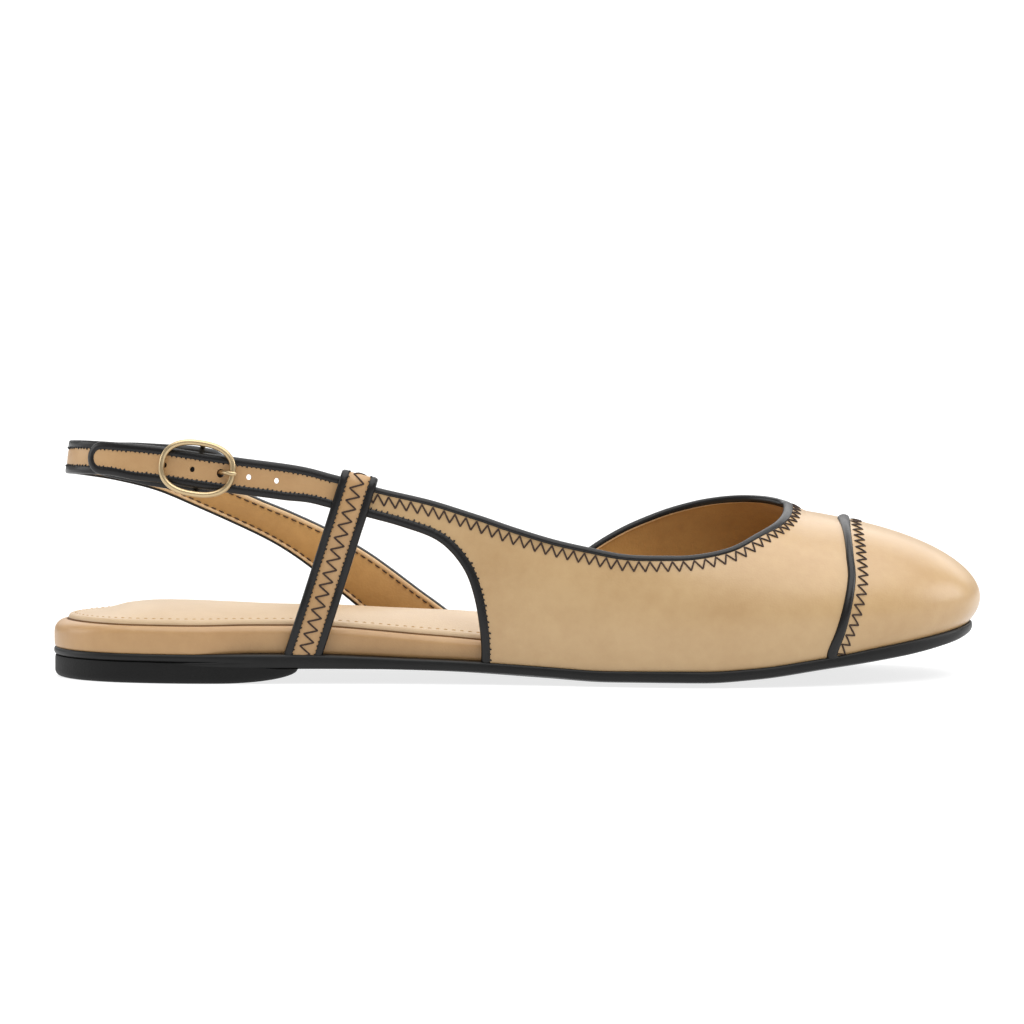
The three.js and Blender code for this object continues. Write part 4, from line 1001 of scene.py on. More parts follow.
def upper_grid(inner_wall):
    """Two matched edges of the upper's sheet: the topline, and the cut-out, sole and toe cap's seam."""
    top = beside_line(TOPLINE, np.full(len(TOPLINE), -0.9))
    cut = beside_line(CUTOUT_LINE, np.full(len(CUTOUT_LINE), 0.9))
    seam = beside_line(SEAM_LINE, np.full(len(SEAM_LINE), -1.0))
    low = cut[-1][0]
    turns = [math.atan2(seam[k][1], seam[k][0] - POLE_X) for k in (0, -1)]
    outer_side = side_foot(np.linspace(low, POLE_X, 120), -1, FEATHER_TUCK)
    inner_side = side_foot(np.linspace(POLE_X, top[-1][0], 120), 1, FEATHER_TUCK)
    if inner_wall:
        front = [toe_foot(np.linspace(-math.pi / 2, math.pi / 2, 200), FEATHER_TUCK)]
        sole = [outer_side, inner_side]
    else:
        outer_front = toe_foot(np.linspace(-math.pi / 2, turns[0], 12), FEATHER_TUCK)
        inner_front = toe_foot(np.linspace(turns[1], math.pi / 2, 12), FEATHER_TUCK)
        front = [seam]
        sole = [np.concatenate([outer_side, outer_front]), np.concatenate([inner_front, inner_side])]
    counts = (110, 110, 200, 150)
    far = edge_path([cut, sole[0], front[0], sole[1]], counts)
    arcs = arc_lengths(top)
    stops = [0, arc_place(top, CUT_CORNER, -1), arc_place(top, VAMP_FRONT, -1),
             arc_place(top, VAMP_FRONT, 1), arcs[-1]]
    places = [np.linspace(a, b, count + 1)[:-1] for a, b, count in zip(stops, stops[1:], counts)]
    near = along(top, arcs, np.append(np.concatenate(places), arcs[-1]))
    return near, far


def crease(places):
    """Soft hollows and swells of the leather where the foot bends it, as heights over the last."""
    a, b = places[..., 0], places[..., 1]
    height = np.zeros(a.shape)
    for station_x, arc, turn, long, wide, deep in CREASES:
        along_it = (a - station_x) * math.cos(turn) + (b - arc) * math.sin(turn)
        off_it = (b - arc) * math.cos(turn) - (a - station_x) * math.sin(turn)
        height += deep * np.exp(-((along_it / long) ** 2) - (off_it / wide) ** 2)
    return height


# Station, arc, turn, half length, half width and depth of each crease of the vamp
CREASES = [
    (46.0, -34.0, 0.35, 22.0, 3.4, -0.28),
    (52.0, -27.0, 0.50, 18.0, 3.2, 0.22),
    (30.0, -46.0, 0.12, 26.0, 4.2, -0.22),
    (58.0, -19.0, 0.80, 12.0, 2.6, -0.20),
    (66.0, -11.0, 1.10, 9.0, 2.2, 0.18),
    (74.0, -30.0, 1.45, 16.0, 3.0, -0.18),
    (46.0, 36.0, -0.35, 22.0, 3.6, -0.26),
    (56.0, 28.0, -0.55, 16.0, 3.0, 0.20),
    (6.0, -50.0, -0.25, 22.0, 4.0, -0.16),
]


def sheet_between(near, far, across, w, shape=None):
    share = np.linspace(0, 1, across)[:, None, None]
    places = near[None] * (1 - share) + far[None] * share
    height = np.full(places.shape[:2], float(w))
    if shape:
        height = height + shape(places)
    return on_last(places, height)


def make_upper():
    near, far = upper_grid(False)
    skin = sheet_between(near, far, 64, 0.0, crease)
    number, count = skin.shape[:2]
    piece("upper_leather", skin, grid_faces(number, count, closed_ring=False), LEATHER,
          ["upper"])
    near, far = upper_grid(True)
    skin = sheet_between(near, far, 64, -LINING_DEPTH)
    piece("upper_lining", skin, grid_faces(number, count, closed_ring=False), LINING)


def make_toe_cap():
    edge = even(beside_line(SEAM_LINE, np.full(len(SEAM_LINE), -1.2)), 260)
    turns = [math.atan2(edge[k][1], edge[k][0] - POLE_X) for k in (0, -1)]
    foot = toe_foot(np.linspace(turns[0], turns[1], 261), FEATHER_TUCK)
    skin = sheet_between(edge, foot, 60, 0.05)
    piece("cap_leather", skin, grid_faces(60, 261, closed_ring=False), LEATHER, ["toe_cap"])


def band_on_last(name, line, section, material, replaces=()):
    """Band along a line of the pattern. The section has places beside the line and heights."""
    rails = [on_last(beside_line(line, np.broadcast_to(beside, len(line))), np.broadcast_to(w, len(line)))
             for beside, w in section]
    return loft(name, np.stack(rails, axis=1), material, replaces)


def rolled_edge(side, outside, inside, proud):
    """Section of a binding folded over the edge of the wall, from its foot outside to its foot inside."""
    middle = -LINING_DEPTH / 2
    half = LINING_DEPTH / 2 + proud
    round_over = 1.25
    points = [(outside, -0.25), (outside - 0.05, proud * 0.3), (outside - 0.22, proud * 0.75)]
    for turn in np.linspace(0, math.pi, 15):
        points.append((round_over * (1 - math.sin(turn)), middle + half * math.cos(turn)))
    points += [(inside - 0.22, -LINING_DEPTH - proud * 0.75), (inside - 0.05, -LINING_DEPTH - proud * 0.3),
               (inside, -LINING_DEPTH + 0.25), (inside, middle), (outside, middle)]
    return [(side * beside, w) for beside, w in points]


def make_bindings():
    widening = 0.7 * np.exp(-(((TOPLINE[:, 0] - station(THROAT_FRONT)) / 6) ** 2))
    band_on_last("topline_roll", TOPLINE, rolled_edge(-1, 1.75 + widening, 1.05, 0.34), BLACK_LEATHER,
                 ["topline_binding"])
    strip = [(-beside, -LINING_DEPTH - under) for beside, under in
             ((0.9, 0.05), (0.95, 0.28), (1.3, 0.36), (1.65, 0.28), (1.75, 0.05), (1.3, -0.1))]
    band_on_last("throat_turned_edge", TOPLINE, strip, TURNED_EDGE)
    band_on_last("cutout_roll", CUTOUT_LINE, rolled_edge(1, 2.6, 2.2, 0.34), BLACK_LEATHER,
                 ["cutout_binding"])
    share = np.linspace(-1, 1, len(SEAM_LINE))
    wide = mix(0.8, 1.45, np.abs(share) ** 4) + 0.55 * np.exp(-((share / 0.18) ** 2))
    section = []
    for turn in np.linspace(0, math.pi, 13):
        place = -PIPING_WIDTH / 2 + (PIPING_WIDTH / 2 + 0.15) * np.cos(turn) * wide
        section.append((place, -0.15 + 1.15 * np.sin(turn) ** 0.8))
    section.append((-PIPING_WIDTH, -0.9))
    section.append((0.0, -0.9))
    band_on_last("toe_seam_roll", SEAM_LINE, section, BLACK_LEATHER, ["toe_seam_piping"])


RIDGE_REACH = 14.0


def stitch_line(name, line, near, far, period, ridge_period, surface_w, first=0.0, last=1.0):
    """Zigzag along a line of the pattern between two distances, with its own period over the ridge."""
    close = beside_line(line, np.full(len(line), near))
    away = beside_line(line, np.full(len(line), far))
    keep = slice(int(first * len(line)), int(last * len(line)))
    middle = on_last((close + away) / 2, np.zeros(len(line)))[keep]
    periods = mix(period, ridge_period, np.exp(-((line[keep][:, 1] / RIDGE_REACH) ** 2)))
    starts, ends = zigzag(close[keep], away[keep], middle, periods)

    def surface(places, w):
        return on_last(places, w + crease(places) + surface_w)

    stitches(name, starts, ends, surface, 0.24, 0.16, THREAD, sunk=0.1, thin=0.95)


def ragged(count):
    """Shares that go up and down without a plain rhythm, for the reach of stitches one after the other."""
    turn = np.arange(count)
    return 0.72 + 0.18 * np.sin(turn * 2.4) + 0.1 * np.sin(turn * 5.3)


def edge_loops(name, line, beside, slant, pitch, reach_in, material):
    """Short stitches that hold a binding's inner edge, each across the edge at a slant."""
    rail = on_last(beside_line(line, np.full(len(line), beside)), np.zeros(len(line)))
    arcs = arc_lengths(rail)
    places = np.arange(pitch, arcs[-1] - pitch, pitch)
    inner = beside_line(line, np.full(len(line), beside - reach_in * 0.4))
    outer = beside_line(line, np.full(len(line), beside + reach_in * 0.6))
    starts = along(inner, arcs, places)
    ends = along(outer, arcs, places + slant)
    ends = mix(starts, ends, ragged(len(starts))[:, None])
    stitches(name, starts, ends, on_last, 0.26, 0.22, material, points=5, thin=0.9)


def make_upper_stitches():
    stitch_line("topline_zigzag", TOPLINE, -1.95, -4.75, 3.05, 6.0, 0.0, 0.008, 0.985)
    stitch_line("cap_zigzag", SEAM_LINE, -3.0, -5.9, 2.9, 7.5, 0.05, 0.015, 0.985)
    edge_loops("cutout_loops", CUTOUT_LINE, 2.5, 0.5, 1.5, 1.1, BLACK_THREAD)


# Straps

def sling_points():
    x = station(SLING["at"])
    sides = np.sign(SLING["across"])
    foot = np.stack([x, np.zeros(len(x))], axis=1)
    direction = np.stack([np.zeros(len(x)), np.where(sides < 0, -1.0, 1.0)], axis=1)
    y = SLING["across"] * reach(foot, direction)
    free = np.stack([x, y, SLING["height"] * SLING_HEIGHT], axis=1)
    rise = []
    for back in (14, 7, 0):
        place_x = WING_END_X - back
        place = pattern_at(place_x, WING_MIDDLE + back * math.tan(WING_TILT), -1)
        rise.append(on_last(place, -WING_DEPTH))
    return np.concatenate([free, rise])


BILLET_HIGH = BILLET_LOW + BILLET_THICKNESS
WING_DEPTH = (WALL + BILLET_LOW + BILLET_HIGH) / 2
WING_MIDDLE = float(line_height(WING, WING_END_X) + line_height(CUTOUT, WING_END_X)) / 2
STRAP, STRAP_T = centripetal(sling_points(), fine=60)
STRAP_ARC = arc_lengths(STRAP)
STRAP_LENGTH = STRAP_ARC[-1]
STRAP_RUN = unit(np.gradient(STRAP, STRAP_ARC, axis=0))
flare_at = monotone(np.arange(len(SLING["at"])) / (len(SLING["at"]) + 2), SLING["flare"])


def flare(s):
    return flare_at(np.interp(s, STRAP_ARC, STRAP_T))


def strap_frame(s):
    inside = np.clip(s, 0, STRAP_LENGTH)
    run = unit(along(STRAP_RUN, STRAP_ARC, inside))
    origin = along(STRAP, STRAP_ARC, inside) + run * (s - inside)[..., None]
    lean = (STRAP_LEAN * (1 - flare(inside)))[..., None]
    level = unit(np.stack([run[..., 1], -run[..., 0], np.zeros(run.shape[:-1])], axis=-1))
    rise = np.cross(level, run)
    up = rise * np.cos(lean) - level * np.sin(lean)
    out = level * np.cos(lean) + rise * np.sin(lean)
    return origin, run, up, out


def on_strap(places, w):
    """Points over places of the strap: s along it and v up its width, w out of its face."""
    origin, _, up, out = strap_frame(places[..., 0])
    return origin + up * places[..., 1:2] + out * np.asarray(w, float)[..., None]


def strap_at(x):
    back = np.argmin(STRAP[:, 0])
    return float(np.interp(x, STRAP[back:, 0], STRAP_ARC[back:]))


BAR_AT = strap_at(station(BAR_PLACE))
TIP_AT = strap_at(station(TIP_PLACE))
SLING_END = BAR_AT - BAR_RADIUS * 4
BILLET_END = STRAP_LENGTH - 4 * CLEAR


def sling_half(s):
    return mix(STRAP_WIDTH, SLING_FOOT_WIDTH, flare(s)) / 2


def sling_start(share):
    """Where the strap at a share of its half width goes into the sole."""
    low, high = -SLING_FOOT_WIDTH, 30.0
    for _ in range(30):
        s = np.array([(low + high) / 2])
        point = on_strap(np.stack([s, share * sling_half(s)], axis=1), np.zeros(1))[0]
        if point[2] < sole_top(point[0]) - 0.6:
            low = s[0]
        else:
            high = s[0]
    return low


def sling_band(name, shares_w, material, replaces=(), count=300):
    """Band along the whole sling. Its section has shares of the half width, offsets in mm and heights."""
    rails = []
    for share, offset, w in shares_w:
        s = np.linspace(sling_start(share), SLING_END, count)
        v = share * sling_half(s) + offset
        rails.append(on_strap(np.stack([s, v], axis=1), np.full(count, w)))
    return loft(name, np.stack(rails, axis=1), material, replaces)


def make_sling():
    edge = BINDING_WIDTH
    sling_band("sling_face", [(-1, edge - 0.5, -0.35), (-1, edge - 0.3, 0.0), (-0.5, 0.9, 0.1), (0, 0, 0.14),
                              (0.5, -0.9, 0.1), (1, -edge + 0.3, 0.0), (1, -edge + 0.5, -0.35)],
               WRAP_LEATHER, ["sling_strap"])
    sling_band("sling_lining",
               [(-1, 1.1, -1.5), (-1, 1.3, -1.64), (0, 0, -1.7), (1, -1.3, -1.64), (1, -1.1, -1.5),
                                (1, -1.1, -0.8), (-1, 1.1, -0.8)], LINING)
    for side, word in ((1, "top"), (-1, "bottom")):
        roll = [(edge, -0.5), (edge - 0.05, 0.05), (edge - 0.25, 0.2), (0.9, 0.24), (0.4, 0.18), (0.12, 0.0),
                (0.0, -0.3), (0.0, -0.9), (0.08, -1.3), (0.3, -1.5), (0.6, -1.4), (0.8, -0.6)]
        if side < 0:
            roll = roll[:8] + [(0.06, -1.5), (0.2, -1.8), (0.45, -1.88), (0.65, -1.82), (0.7, -1.5),
                               (0.8, -0.6)]
        sling_band(f"sling_edge_{word}", [(side, -side * inset, w) for inset, w in roll], BLACK_LEATHER,
                   [f"sling_binding_{word}"])
        turned = [(0.5, -1.2), (0.45, -1.5), (0.6, -1.72), (1.0, -1.8), (1.4, -1.74), (1.6, -1.5),
                  (1.5, -1.1)]
        if side < 0:
            turned = [(inset * 0.8 + 0.3, w) for inset, w in turned]
        sling_band(f"sling_turned_edge_{word}", [(side, -side * inset, w) for inset, w in turned],
                   TURNED_EDGE)
        strap_row(f"sling_inner_row_{word}", side, 1.75, -1.69, 2.3, THREAD, 0.17)


def strap_row(name, side, inset, w, pitch, material, radius):
    """Running stitches along the inner face of the sling."""
    starts = np.arange(sling_start(side) + 2, SLING_END - pitch, pitch)
    ends = starts + pitch * 0.8
    places = [np.stack([s, side * (sling_half(s) - inset)], axis=1) for s in (starts, ends)]
    stitches(name, places[0], places[1], lambda p, up: on_strap(p, w - up), radius, 0.1, material,
             5)


def strap_loops(name, surface, from_s, to_s, half, w, pitch=1.25):
    """Short stitches across the inner edges of a strap's bindings."""
    for side, word in ((1, "top"), (-1, "bottom")):
        s = np.arange(from_s, to_s, pitch)
        outer = side * (half(s) - BINDING_WIDTH + 0.35)
        inner = outer - side * 0.68 * ragged(len(s))
        starts = np.stack([s, outer], axis=1)
        ends = np.stack([s + 0.3, inner], axis=1)
        stitches(f"{name}_{word}", starts, ends, lambda p, up: surface(p, w + up), 0.25, 0.2, BLACK_THREAD,
                 5, thin=0.9)


def on_billet(places, w):
    """Points over places of the billet, whose lower edge hangs a little between buckle and loop."""
    s, v = places[..., 0], places[..., 1]
    core = STRAP_WIDTH / 2 - BINDING_WIDTH
    past_tip = smooth_step(s, TIP_AT + 6, TIP_AT + 16)
    near_end = smooth_step(s, BILLET_END - 18, BILLET_END - 7)
    slack = BILLET_SLACK * past_tip * (1 - near_end)
    down = slack * np.clip(0.5 - v / (2 * core), 0, 1)
    return on_strap(np.stack([s, v - down], axis=-1), w)


def billet_outline(inset, count=150, tip=40):
    half = STRAP_WIDTH / 2 - inset
    centre = TIP_AT + STRAP_WIDTH / 2
    straight = np.linspace(BILLET_END, centre, count)
    turn = np.linspace(math.pi / 2, math.pi * 1.5, tip + 1)
    s = np.concatenate([straight[:-1], centre + half * np.cos(turn), straight[:-1][::-1]])
    v = np.concatenate([np.full(count - 1, half), half * np.sin(turn), np.full(count - 1, -half)])
    return np.stack([s, v], axis=1)


def punched_sheet(half, holes, cell=0.24):
    """Grid of the billet's face inside its binding, with round holes cut out of it."""
    centre = TIP_AT + STRAP_WIDTH / 2
    s = np.arange(centre - half, BILLET_END, cell)
    across = np.linspace(-1, 1, 2 * int(half / cell) + 1)
    back = np.clip((centre - s) / half, 0, 1)
    widths = half * np.sqrt(np.clip(1 - back**2, 0.0004, 1))
    places = np.stack([np.repeat(s, len(across)), (widths[:, None] * across).reshape(-1)], axis=1)
    faces = np.array(grid_faces(len(s), len(across), closed_ring=False))
    keep = np.ones(len(faces), bool)
    for place, radius in holes:
        off = places - [place, 0]
        far = np.linalg.norm(off, axis=1)
        keep &= ~(far[faces] < radius).any(axis=1)
        rim = np.unique(faces[(far[faces] < radius).any(axis=1)])
        rim = rim[(far[rim] >= radius) & (far[rim] < radius + 2 * cell)]
        places[rim] = [place, 0] + off[rim] * (radius / far[rim])[:, None]
    return places, faces[keep].tolist()


def make_billet():
    holes = [(BAR_AT + PRONG_REACH + k * HOLE_PITCH, HOLE_RADIUS if k else PRONG_HOLE_RADIUS)
             for k in (-2, -1, 0, 1, 2)]
    places, faces = punched_sheet(STRAP_WIDTH / 2 - BINDING_WIDTH + 0.25, holes)
    slab("billet_leather", places, faces, on_billet, BILLET_LOW + 0.15, BILLET_HIGH + 0.05, WRAP_LEATHER,
         ["billet_strap"])
    low, high = BILLET_LOW, BILLET_HIGH
    roll = [(2.2, high - 0.6), (2.18, high + 0.1), (1.95, high + 0.26), (1.3, high + 0.3), (0.6, high + 0.2),
            (0.15, high - 0.1), (0.0, high - 0.5), (0.0, low + 0.6), (0.12, low + 0.25), (0.5, low),
            (1.3, low - 0.05), (2.0, low), (2.2, low + 0.3)]
    rails = [on_billet(billet_outline(inset), np.full(len(billet_outline(inset)), w)) for inset, w in roll]
    loft("billet_edge", np.stack(rails, axis=1), BLACK_LEATHER, ["billet_binding"])
    strap_loops("billet_loops", on_billet, TIP_AT + 4, BILLET_END - 6,
                lambda s: np.full(len(s), STRAP_WIDTH / 2), BILLET_HIGH)
    strap_loops("sling_loops", on_strap, 22, BAR_AT - 6, sling_half, 0.0)


# Loop strap, in its own places: u across it, v up it from the middle of the wing, w out of the last

def on_loop(u, v, w):
    x = WING_END_X + u * math.cos(WING_TILT) + v * math.sin(LOOP_TILT)
    height = WING_MIDDLE - u * math.sin(WING_TILT) + v * math.cos(LOOP_TILT)
    lowest = float(sole_top(x)) + CLEAR + 0.05
    point = on_last(pattern_at(x, max(height, lowest), -1), w)
    return point - np.array([0, 0, max(lowest - height, 0)])


def loop_line():
    foot_x = WING_END_X - WING_MIDDLE * math.tan(LOOP_TILT)
    into_sole = 0.9 + LOOP_WIDTH / 2 * math.sin(WING_TILT)
    down = (WING_MIDDLE - float(sole_top(foot_x)) + into_sole) / math.cos(LOOP_TILT)
    half = LOOP_THICKNESS / 2
    slot = STRAP_WIDTH / 2 + CLEAR
    front = 0.4 + CLEAR + half
    back = -WALL - 0.4 - CLEAR - half
    low = -half
    points = [(v, low) for v in np.linspace(-down, -slot * 5, 5)]
    points += [
        (-slot * 3.2, mix(low, front, 0.35)), (-slot * 2.0, mix(low, front, 0.8)), (-slot, front), (0, front),
        (slot - half, front), (slot + half * 0.75, mix(front, back, 0.16)),
        (slot + half, mix(front, back, 0.5)), (slot + half * 0.75, mix(front, back, 0.84)),
        (slot - half, back), (0, back), (-slot, back), (-slot - LOOP_THICKNESS, mix(front, back, 0.8)),
        (-slot - LOOP_THICKNESS * 2, mix(front, back, 0.5)),
    ]
    return even(centripetal(points)[0], 150)


LOOP = loop_line()
LOOP_ARC = arc_lengths(LOOP)
LOOP_RUN = unit(np.gradient(LOOP, LOOP_ARC, axis=0))
LOOP_LENGTH = LOOP_ARC[-1]


def loop_point(s, u, thick):
    centre = along(LOOP, LOOP_ARC, s)
    run = along(LOOP_RUN, LOOP_ARC, s)
    return on_loop(u, centre[0] - run[1] * thick, centre[1] + run[0] * thick)


def on_loop_face(places, w):
    """Points over places of the loop's outer face: s along it and u across."""
    flat = places.reshape(-1, 2)
    heights = np.broadcast_to(w, places.shape[:-1]).reshape(-1)
    face = LOOP_THICKNESS / 2
    points = [loop_point(s, u, face + height) for (s, u), height in zip(flat, heights)]
    return np.array(points).reshape(*places.shape[:-1], 3)


def loop_band(name, section, material, replaces):
    rings = [[loop_point(s, u, thick) for u, thick in section] for s in np.linspace(0, LOOP_LENGTH, 150)]
    return loft(name, rings, material, replaces)


def make_loop():
    half = LOOP_THICKNESS / 2
    core = LOOP_WIDTH / 2 - LOOP_EDGE
    loop_band("loop_leather",
              [(-core - 0.1, -half), (core + 0.1, -half), (core + 0.1, half - 0.1), (core, half + 0.02),
                               (0, half + 0.1), (-core, half + 0.02), (-core - 0.1, half - 0.1)],
              WRAP_LEATHER, ["loop_strap"])
    for side, word in ((-1, "back"), (1, "front")):
        edge = LOOP_WIDTH / 2
        roll = [(core + 0.02, half - 0.3), (core + 0.06, half + 0.12), (core + 0.3, half + 0.26),
                (core + 1.0, half + 0.3), (edge - 0.45, half + 0.18), (edge - 0.08, half - 0.1),
                (edge, half * 0.3), (edge, -half * 0.5), (edge - 0.2, -half - 0.05),
                (edge - 0.8, -half - 0.12), (core + 0.1, -half - 0.05)]
        loop_band(f"loop_edge_{word}", [(side * u, thick) for u, thick in roll], BLACK_LEATHER,
                  [f"loop_binding_{word}"])
    half_period = 1.72
    shown = LOOP_ARC[np.argmax(LOOP[:, 0])]
    s = np.arange(1.0, shown, half_period)
    u = np.where(np.arange(len(s)) % 2, 1.7, -1.7)
    places = np.stack([s, u], axis=1)
    stitches("loop_zigzag", places[:-1], places[1:], on_loop_face, 0.24, 0.22, THREAD,
             sunk=0.1, thin=0.95)
    s = np.arange(1.5, shown, 1.25)
    for side, word in ((-1, "back"), (1, "front")):
        outer = side * (core + 0.35)
        starts = np.stack([s, np.full(len(s), outer)], axis=1)
        ends = np.stack([s + 0.3, outer - side * 0.66 * ragged(len(s))], axis=1)
        stitches(f"loop_edge_stitches_{word}", starts, ends, on_loop_face, 0.25, 0.2, BLACK_THREAD,
                 5, thin=0.9)


# Buckle, in the strap's axes at its bar

BUCKLE_ORIGIN, BUCKLE_RUN, BUCKLE_UP, BUCKLE_OUT = (part[0] for part in strap_frame(np.array([BAR_AT])))
RING_DEPTH = BILLET_HIGH + 0.2 + CLEAR + BUCKLE_WIRE


def at_buckle(s, v, w):
    parts = zip((s, v, w), (BUCKLE_RUN, BUCKLE_UP, BUCKLE_OUT))
    return BUCKLE_ORIGIN + sum(np.asarray(size, float)[..., None] * axis for size, axis in parts)


def wire(name, path, flat_way, radius, material, replaces=(), closed=False, sides=16):
    """Round wire through a path of points. flat_way is square to the plane of the path."""
    if closed:
        run = np.roll(path, -1, axis=0) - np.roll(path, 1, axis=0)
    else:
        run = np.gradient(path, axis=0)
    run = unit(run)
    flat = np.broadcast_to(flat_way, run.shape)
    across = unit(np.cross(run, flat))
    turn = np.arange(sides) / sides * 2 * math.pi
    size = np.broadcast_to(radius, len(path))[:, None, None]
    circle = across[:, None] * np.cos(turn)[:, None] + flat[:, None] * np.sin(turn)[:, None]
    rings = path[:, None] + size * circle
    return loft(name, rings, material, replaces, closed_rings=closed)


def make_buckle():
    turn = np.linspace(0, 2 * math.pi, 120, endpoint=False)
    power = 2 / RING_SQUARENESS
    s = np.sign(np.cos(turn)) * np.abs(np.cos(turn)) ** power * (BUCKLE_LENGTH / 2 - BUCKLE_WIRE)
    v = np.sign(np.sin(turn)) * np.abs(np.sin(turn)) ** power * (BUCKLE_HEIGHT / 2 - BUCKLE_WIRE)
    ring = even(np.concatenate([at_buckle(s, v, RING_DEPTH), at_buckle(s[:1], v[:1], RING_DEPTH)]), 140)[:-1]
    wire("buckle_ring", ring, BUCKLE_OUT, BUCKLE_WIRE, GOLD, ["buckle_frame"], closed=True)
    top = BUCKLE_HEIGHT / 2 - BUCKLE_WIRE
    straight = STRAP_WIDTH / 2
    half = [(top, RING_DEPTH), (top - BUCKLE_WIRE * 0.2, BILLET_HIGH), (top - BUCKLE_WIRE * 0.4, BILLET_LOW),
            (top - BUCKLE_WIRE * 0.5, BAR_DEPTH * 0.6), (top - BUCKLE_WIRE * 1.5, BAR_DEPTH),
            (straight / 2, BAR_DEPTH)]
    places = even(centripetal([*half, (0, BAR_DEPTH), *[(-v, w) for v, w in half[::-1]]])[0], 90)
    bar = at_buckle(np.zeros(len(places)), places[:, 0], places[:, 1])
    wire("buckle_bar", bar, BUCKLE_RUN, BAR_RADIUS, GOLD)
    make_prong()
    make_bar_fold()


def make_bar_fold():
    """The sling's end, folded loosely round the bar behind the billet and a little wider than it."""
    rows_along = rows(
        "at top bottom",
        (-30.0, 4.3, 4.4), (-23.0, 4.6, 5.3), (-18.0, 4.9, 5.8), (-13.0, 5.1, 6.4), (-7.0, 5.5, 6.6),
        (-2.0, 6.0, 6.6), (3.0, 5.9, 6.2), (7.0, 4.3, 4.5),
    )
    top_row = monotone(rows_along["at"], rows_along["top"])
    bottom_row = monotone(rows_along["at"], rows_along["bottom"])
    front, deepest = 0.35, BAR_DEPTH - BAR_RADIUS - 0.2
    turn = np.linspace(0, 2 * math.pi, 40, endpoint=False)
    side = np.sign(np.sin(turn)) * np.abs(np.sin(turn)) ** 0.35
    depth = np.sign(np.cos(turn)) * np.abs(np.cos(turn)) ** 0.6
    start, end = rows_along["at"][0], rows_along["at"][-1]
    round_end = (front - deepest) / 2
    nose = end - round_end * (1 - np.sin(np.linspace(0.1, 1.5, 9)))
    rings = []
    for at in [*np.linspace(start, end - round_end, 50), *nose]:
        back = mix(-1.4, deepest, smooth_step(at, -9, -3))
        thick = (front - back) / 2
        if at > end - round_end:
            thick *= math.sqrt(max(1 - ((at - end + round_end) / round_end) ** 2, 0.01))
        v = np.where(side > 0, top_row(at), bottom_row(at)) * side
        w = (front + back) / 2 + thick * depth
        rings.append(on_strap(np.stack([np.full(len(turn), BAR_AT + at), v], axis=1), w))
    loft("bar_fold", rings, BLACK_LEATHER)


def make_prong():
    hook = BAR_RADIUS + CLEAR + PRONG_RADIUS
    rest = RING_DEPTH + BUCKLE_WIRE + PRONG_RADIUS * 0.9
    limb = BUCKLE_LENGTH / 2 - BUCKLE_WIRE
    points = [(hook * math.cos(turn), BAR_DEPTH + hook * math.sin(turn))
              for turn in np.linspace(math.pi * 0.83, math.pi * 1.92, 7)]
    points += [(PRONG_REACH * 0.58, BAR_DEPTH * 0.62), (PRONG_REACH * 0.84, -0.1),
               (PRONG_REACH * 1.12, BILLET_HIGH + PRONG_RADIUS),
               (limb - BUCKLE_WIRE * 1.8, rest - PRONG_RADIUS), (limb, rest),
               (limb + BUCKLE_WIRE * 1.6, rest - 0.1)]
    places = even(centripetal(points)[0], 90)
    share = np.linspace(0, 1, len(places))
    tip_from = 0.96
    tip_share = 0.042
    rounding = np.sqrt(np.clip(1 - ((share - tip_from) / tip_share) ** 2, 0.02, 1))
    radius = PRONG_RADIUS * np.where(share > tip_from, rounding, 1)
    path = at_buckle(places[:, 0], np.zeros(len(places)), places[:, 1])
    wire("prong", path, BUCKLE_UP, radius, GOLD, ["buckle_prong"])


make_outsole()
make_heel_block()
make_footbed()
make_sock()
make_upper()
make_toe_cap()
make_bindings()
make_upper_stitches()
make_sling()
make_billet()
make_loop()
make_buckle()


# Floor, lights and camera

def make_floor():
    size = 30.0
    mesh = bpy.data.meshes.new("floor")
    corners = [(-size, -size, 0), (size, -size, 0), (size, size, 0), (-size, size, 0)]
    mesh.from_pydata(corners, [], [(0, 1, 2, 3)])
    material = bpy.data.materials.new("floor")
    material.use_nodes = True
    shader = material.node_tree.nodes["Principled BSDF"]
    shader.inputs["Base Color"].default_value = (0.3, 0.3, 0.3, 1)
    shader.inputs["Roughness"].default_value = 0.8
    shader.inputs["Specular IOR Level"].default_value = 0.1
    shader.inputs["Emission Color"].default_value = (1, 1, 1, 1)
    shader.inputs["Emission Strength"].default_value = 0.78
    mesh.materials.append(material)
    floor = bpy.data.objects.new("floor", mesh)
    bpy.context.collection.objects.link(floor)


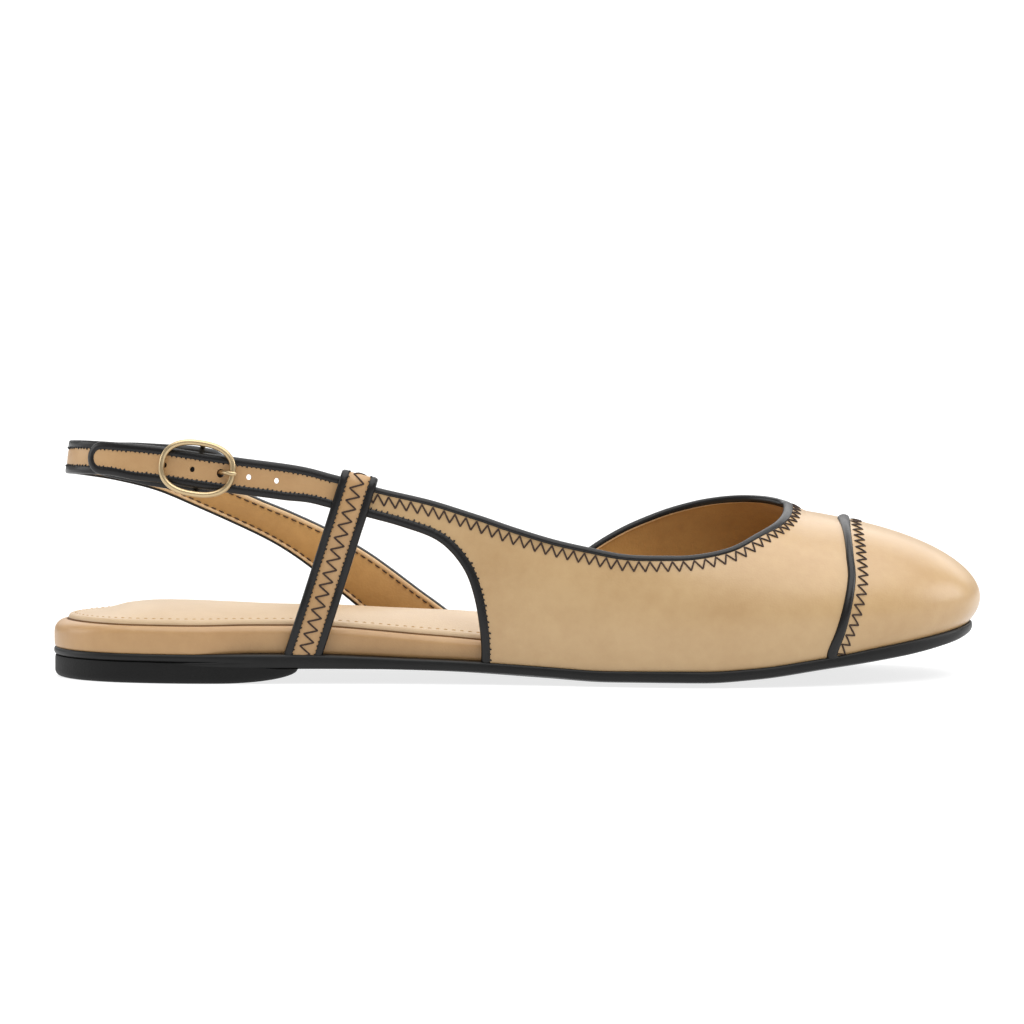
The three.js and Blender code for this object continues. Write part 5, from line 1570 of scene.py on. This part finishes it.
def area_light(name, place, size, power, aim=(0, 0, 0.03)):
    light = bpy.data.lights.new(name, "AREA")
    light.shape = "RECTANGLE"
    light.size, light.size_y = size
    light.energy = power
    made = bpy.data.objects.new(name, light)
    made.location = place
    way = np.array(aim) - np.array(place)
    flat = math.hypot(way[0], way[1])
    made.rotation_euler = (math.atan2(flat, -way[2]), 0, math.atan2(way[1], way[0]) - math.pi / 2)
    bpy.context.collection.objects.link(made)


def make_lights():
    world = bpy.data.worlds.new("studio")
    world.use_nodes = True
    background = world.node_tree.nodes["Background"]
    background.inputs["Color"].default_value = (1, 1, 1, 1)
    background.inputs["Strength"].default_value = 0.35
    bpy.context.scene.world = world
    sky = bpy.data.lights.new("ceiling", "SUN")
    sky.energy = 3.4
    sky.angle = math.radians(80)
    ceiling = bpy.data.objects.new("ceiling", sky)
    ceiling.rotation_euler = (math.radians(10), math.radians(6), 0)
    bpy.context.collection.objects.link(ceiling)
    area_light("back", (0.0, 1.6, 1.1), (3.0, 1.3), 19)
    area_light("toe side", (1.5, 0.2, 0.6), (0.9, 0.7), 8)
    area_light("heel side", (-1.5, 0.2, 0.5), (0.9, 0.7), 5)
    area_light("front", (0.35, -1.3, 0.8), (1.0, 0.6), 1)


# The photograph: its scale and the place of the shoe's origin in it
PIXELS = 1024
PIXELS_PER_MM = 3.708
ORIGIN_PIXEL = (517.0, 675.4)
ELEVATION = math.radians(5)
LENS = 1200.0


def make_camera():
    camera = bpy.data.cameras.new("camera")
    camera.lens = LENS
    camera.sensor_width = 36.0
    camera.clip_end = 100.0
    width = PIXELS / PIXELS_PER_MM
    distance = width * LENS / camera.sensor_width
    right = (PIXELS / 2 - ORIGIN_PIXEL[0]) / PIXELS_PER_MM
    up = (ORIGIN_PIXEL[1] - PIXELS / 2) / PIXELS_PER_MM / math.cos(ELEVATION)
    aim = np.array([right, 0, up]) + SHIFT
    place = aim + distance * np.array([0, -math.cos(ELEVATION), math.sin(ELEVATION)])
    made = bpy.data.objects.new("camera", camera)
    made.location = place * MM
    made.rotation_euler = (math.pi / 2 - ELEVATION, 0, 0)
    bpy.context.collection.objects.link(made)
    bpy.context.scene.camera = made


make_floor()
make_lights()
make_camera()
bpy.context.scene.view_settings.view_transform = "Standard"
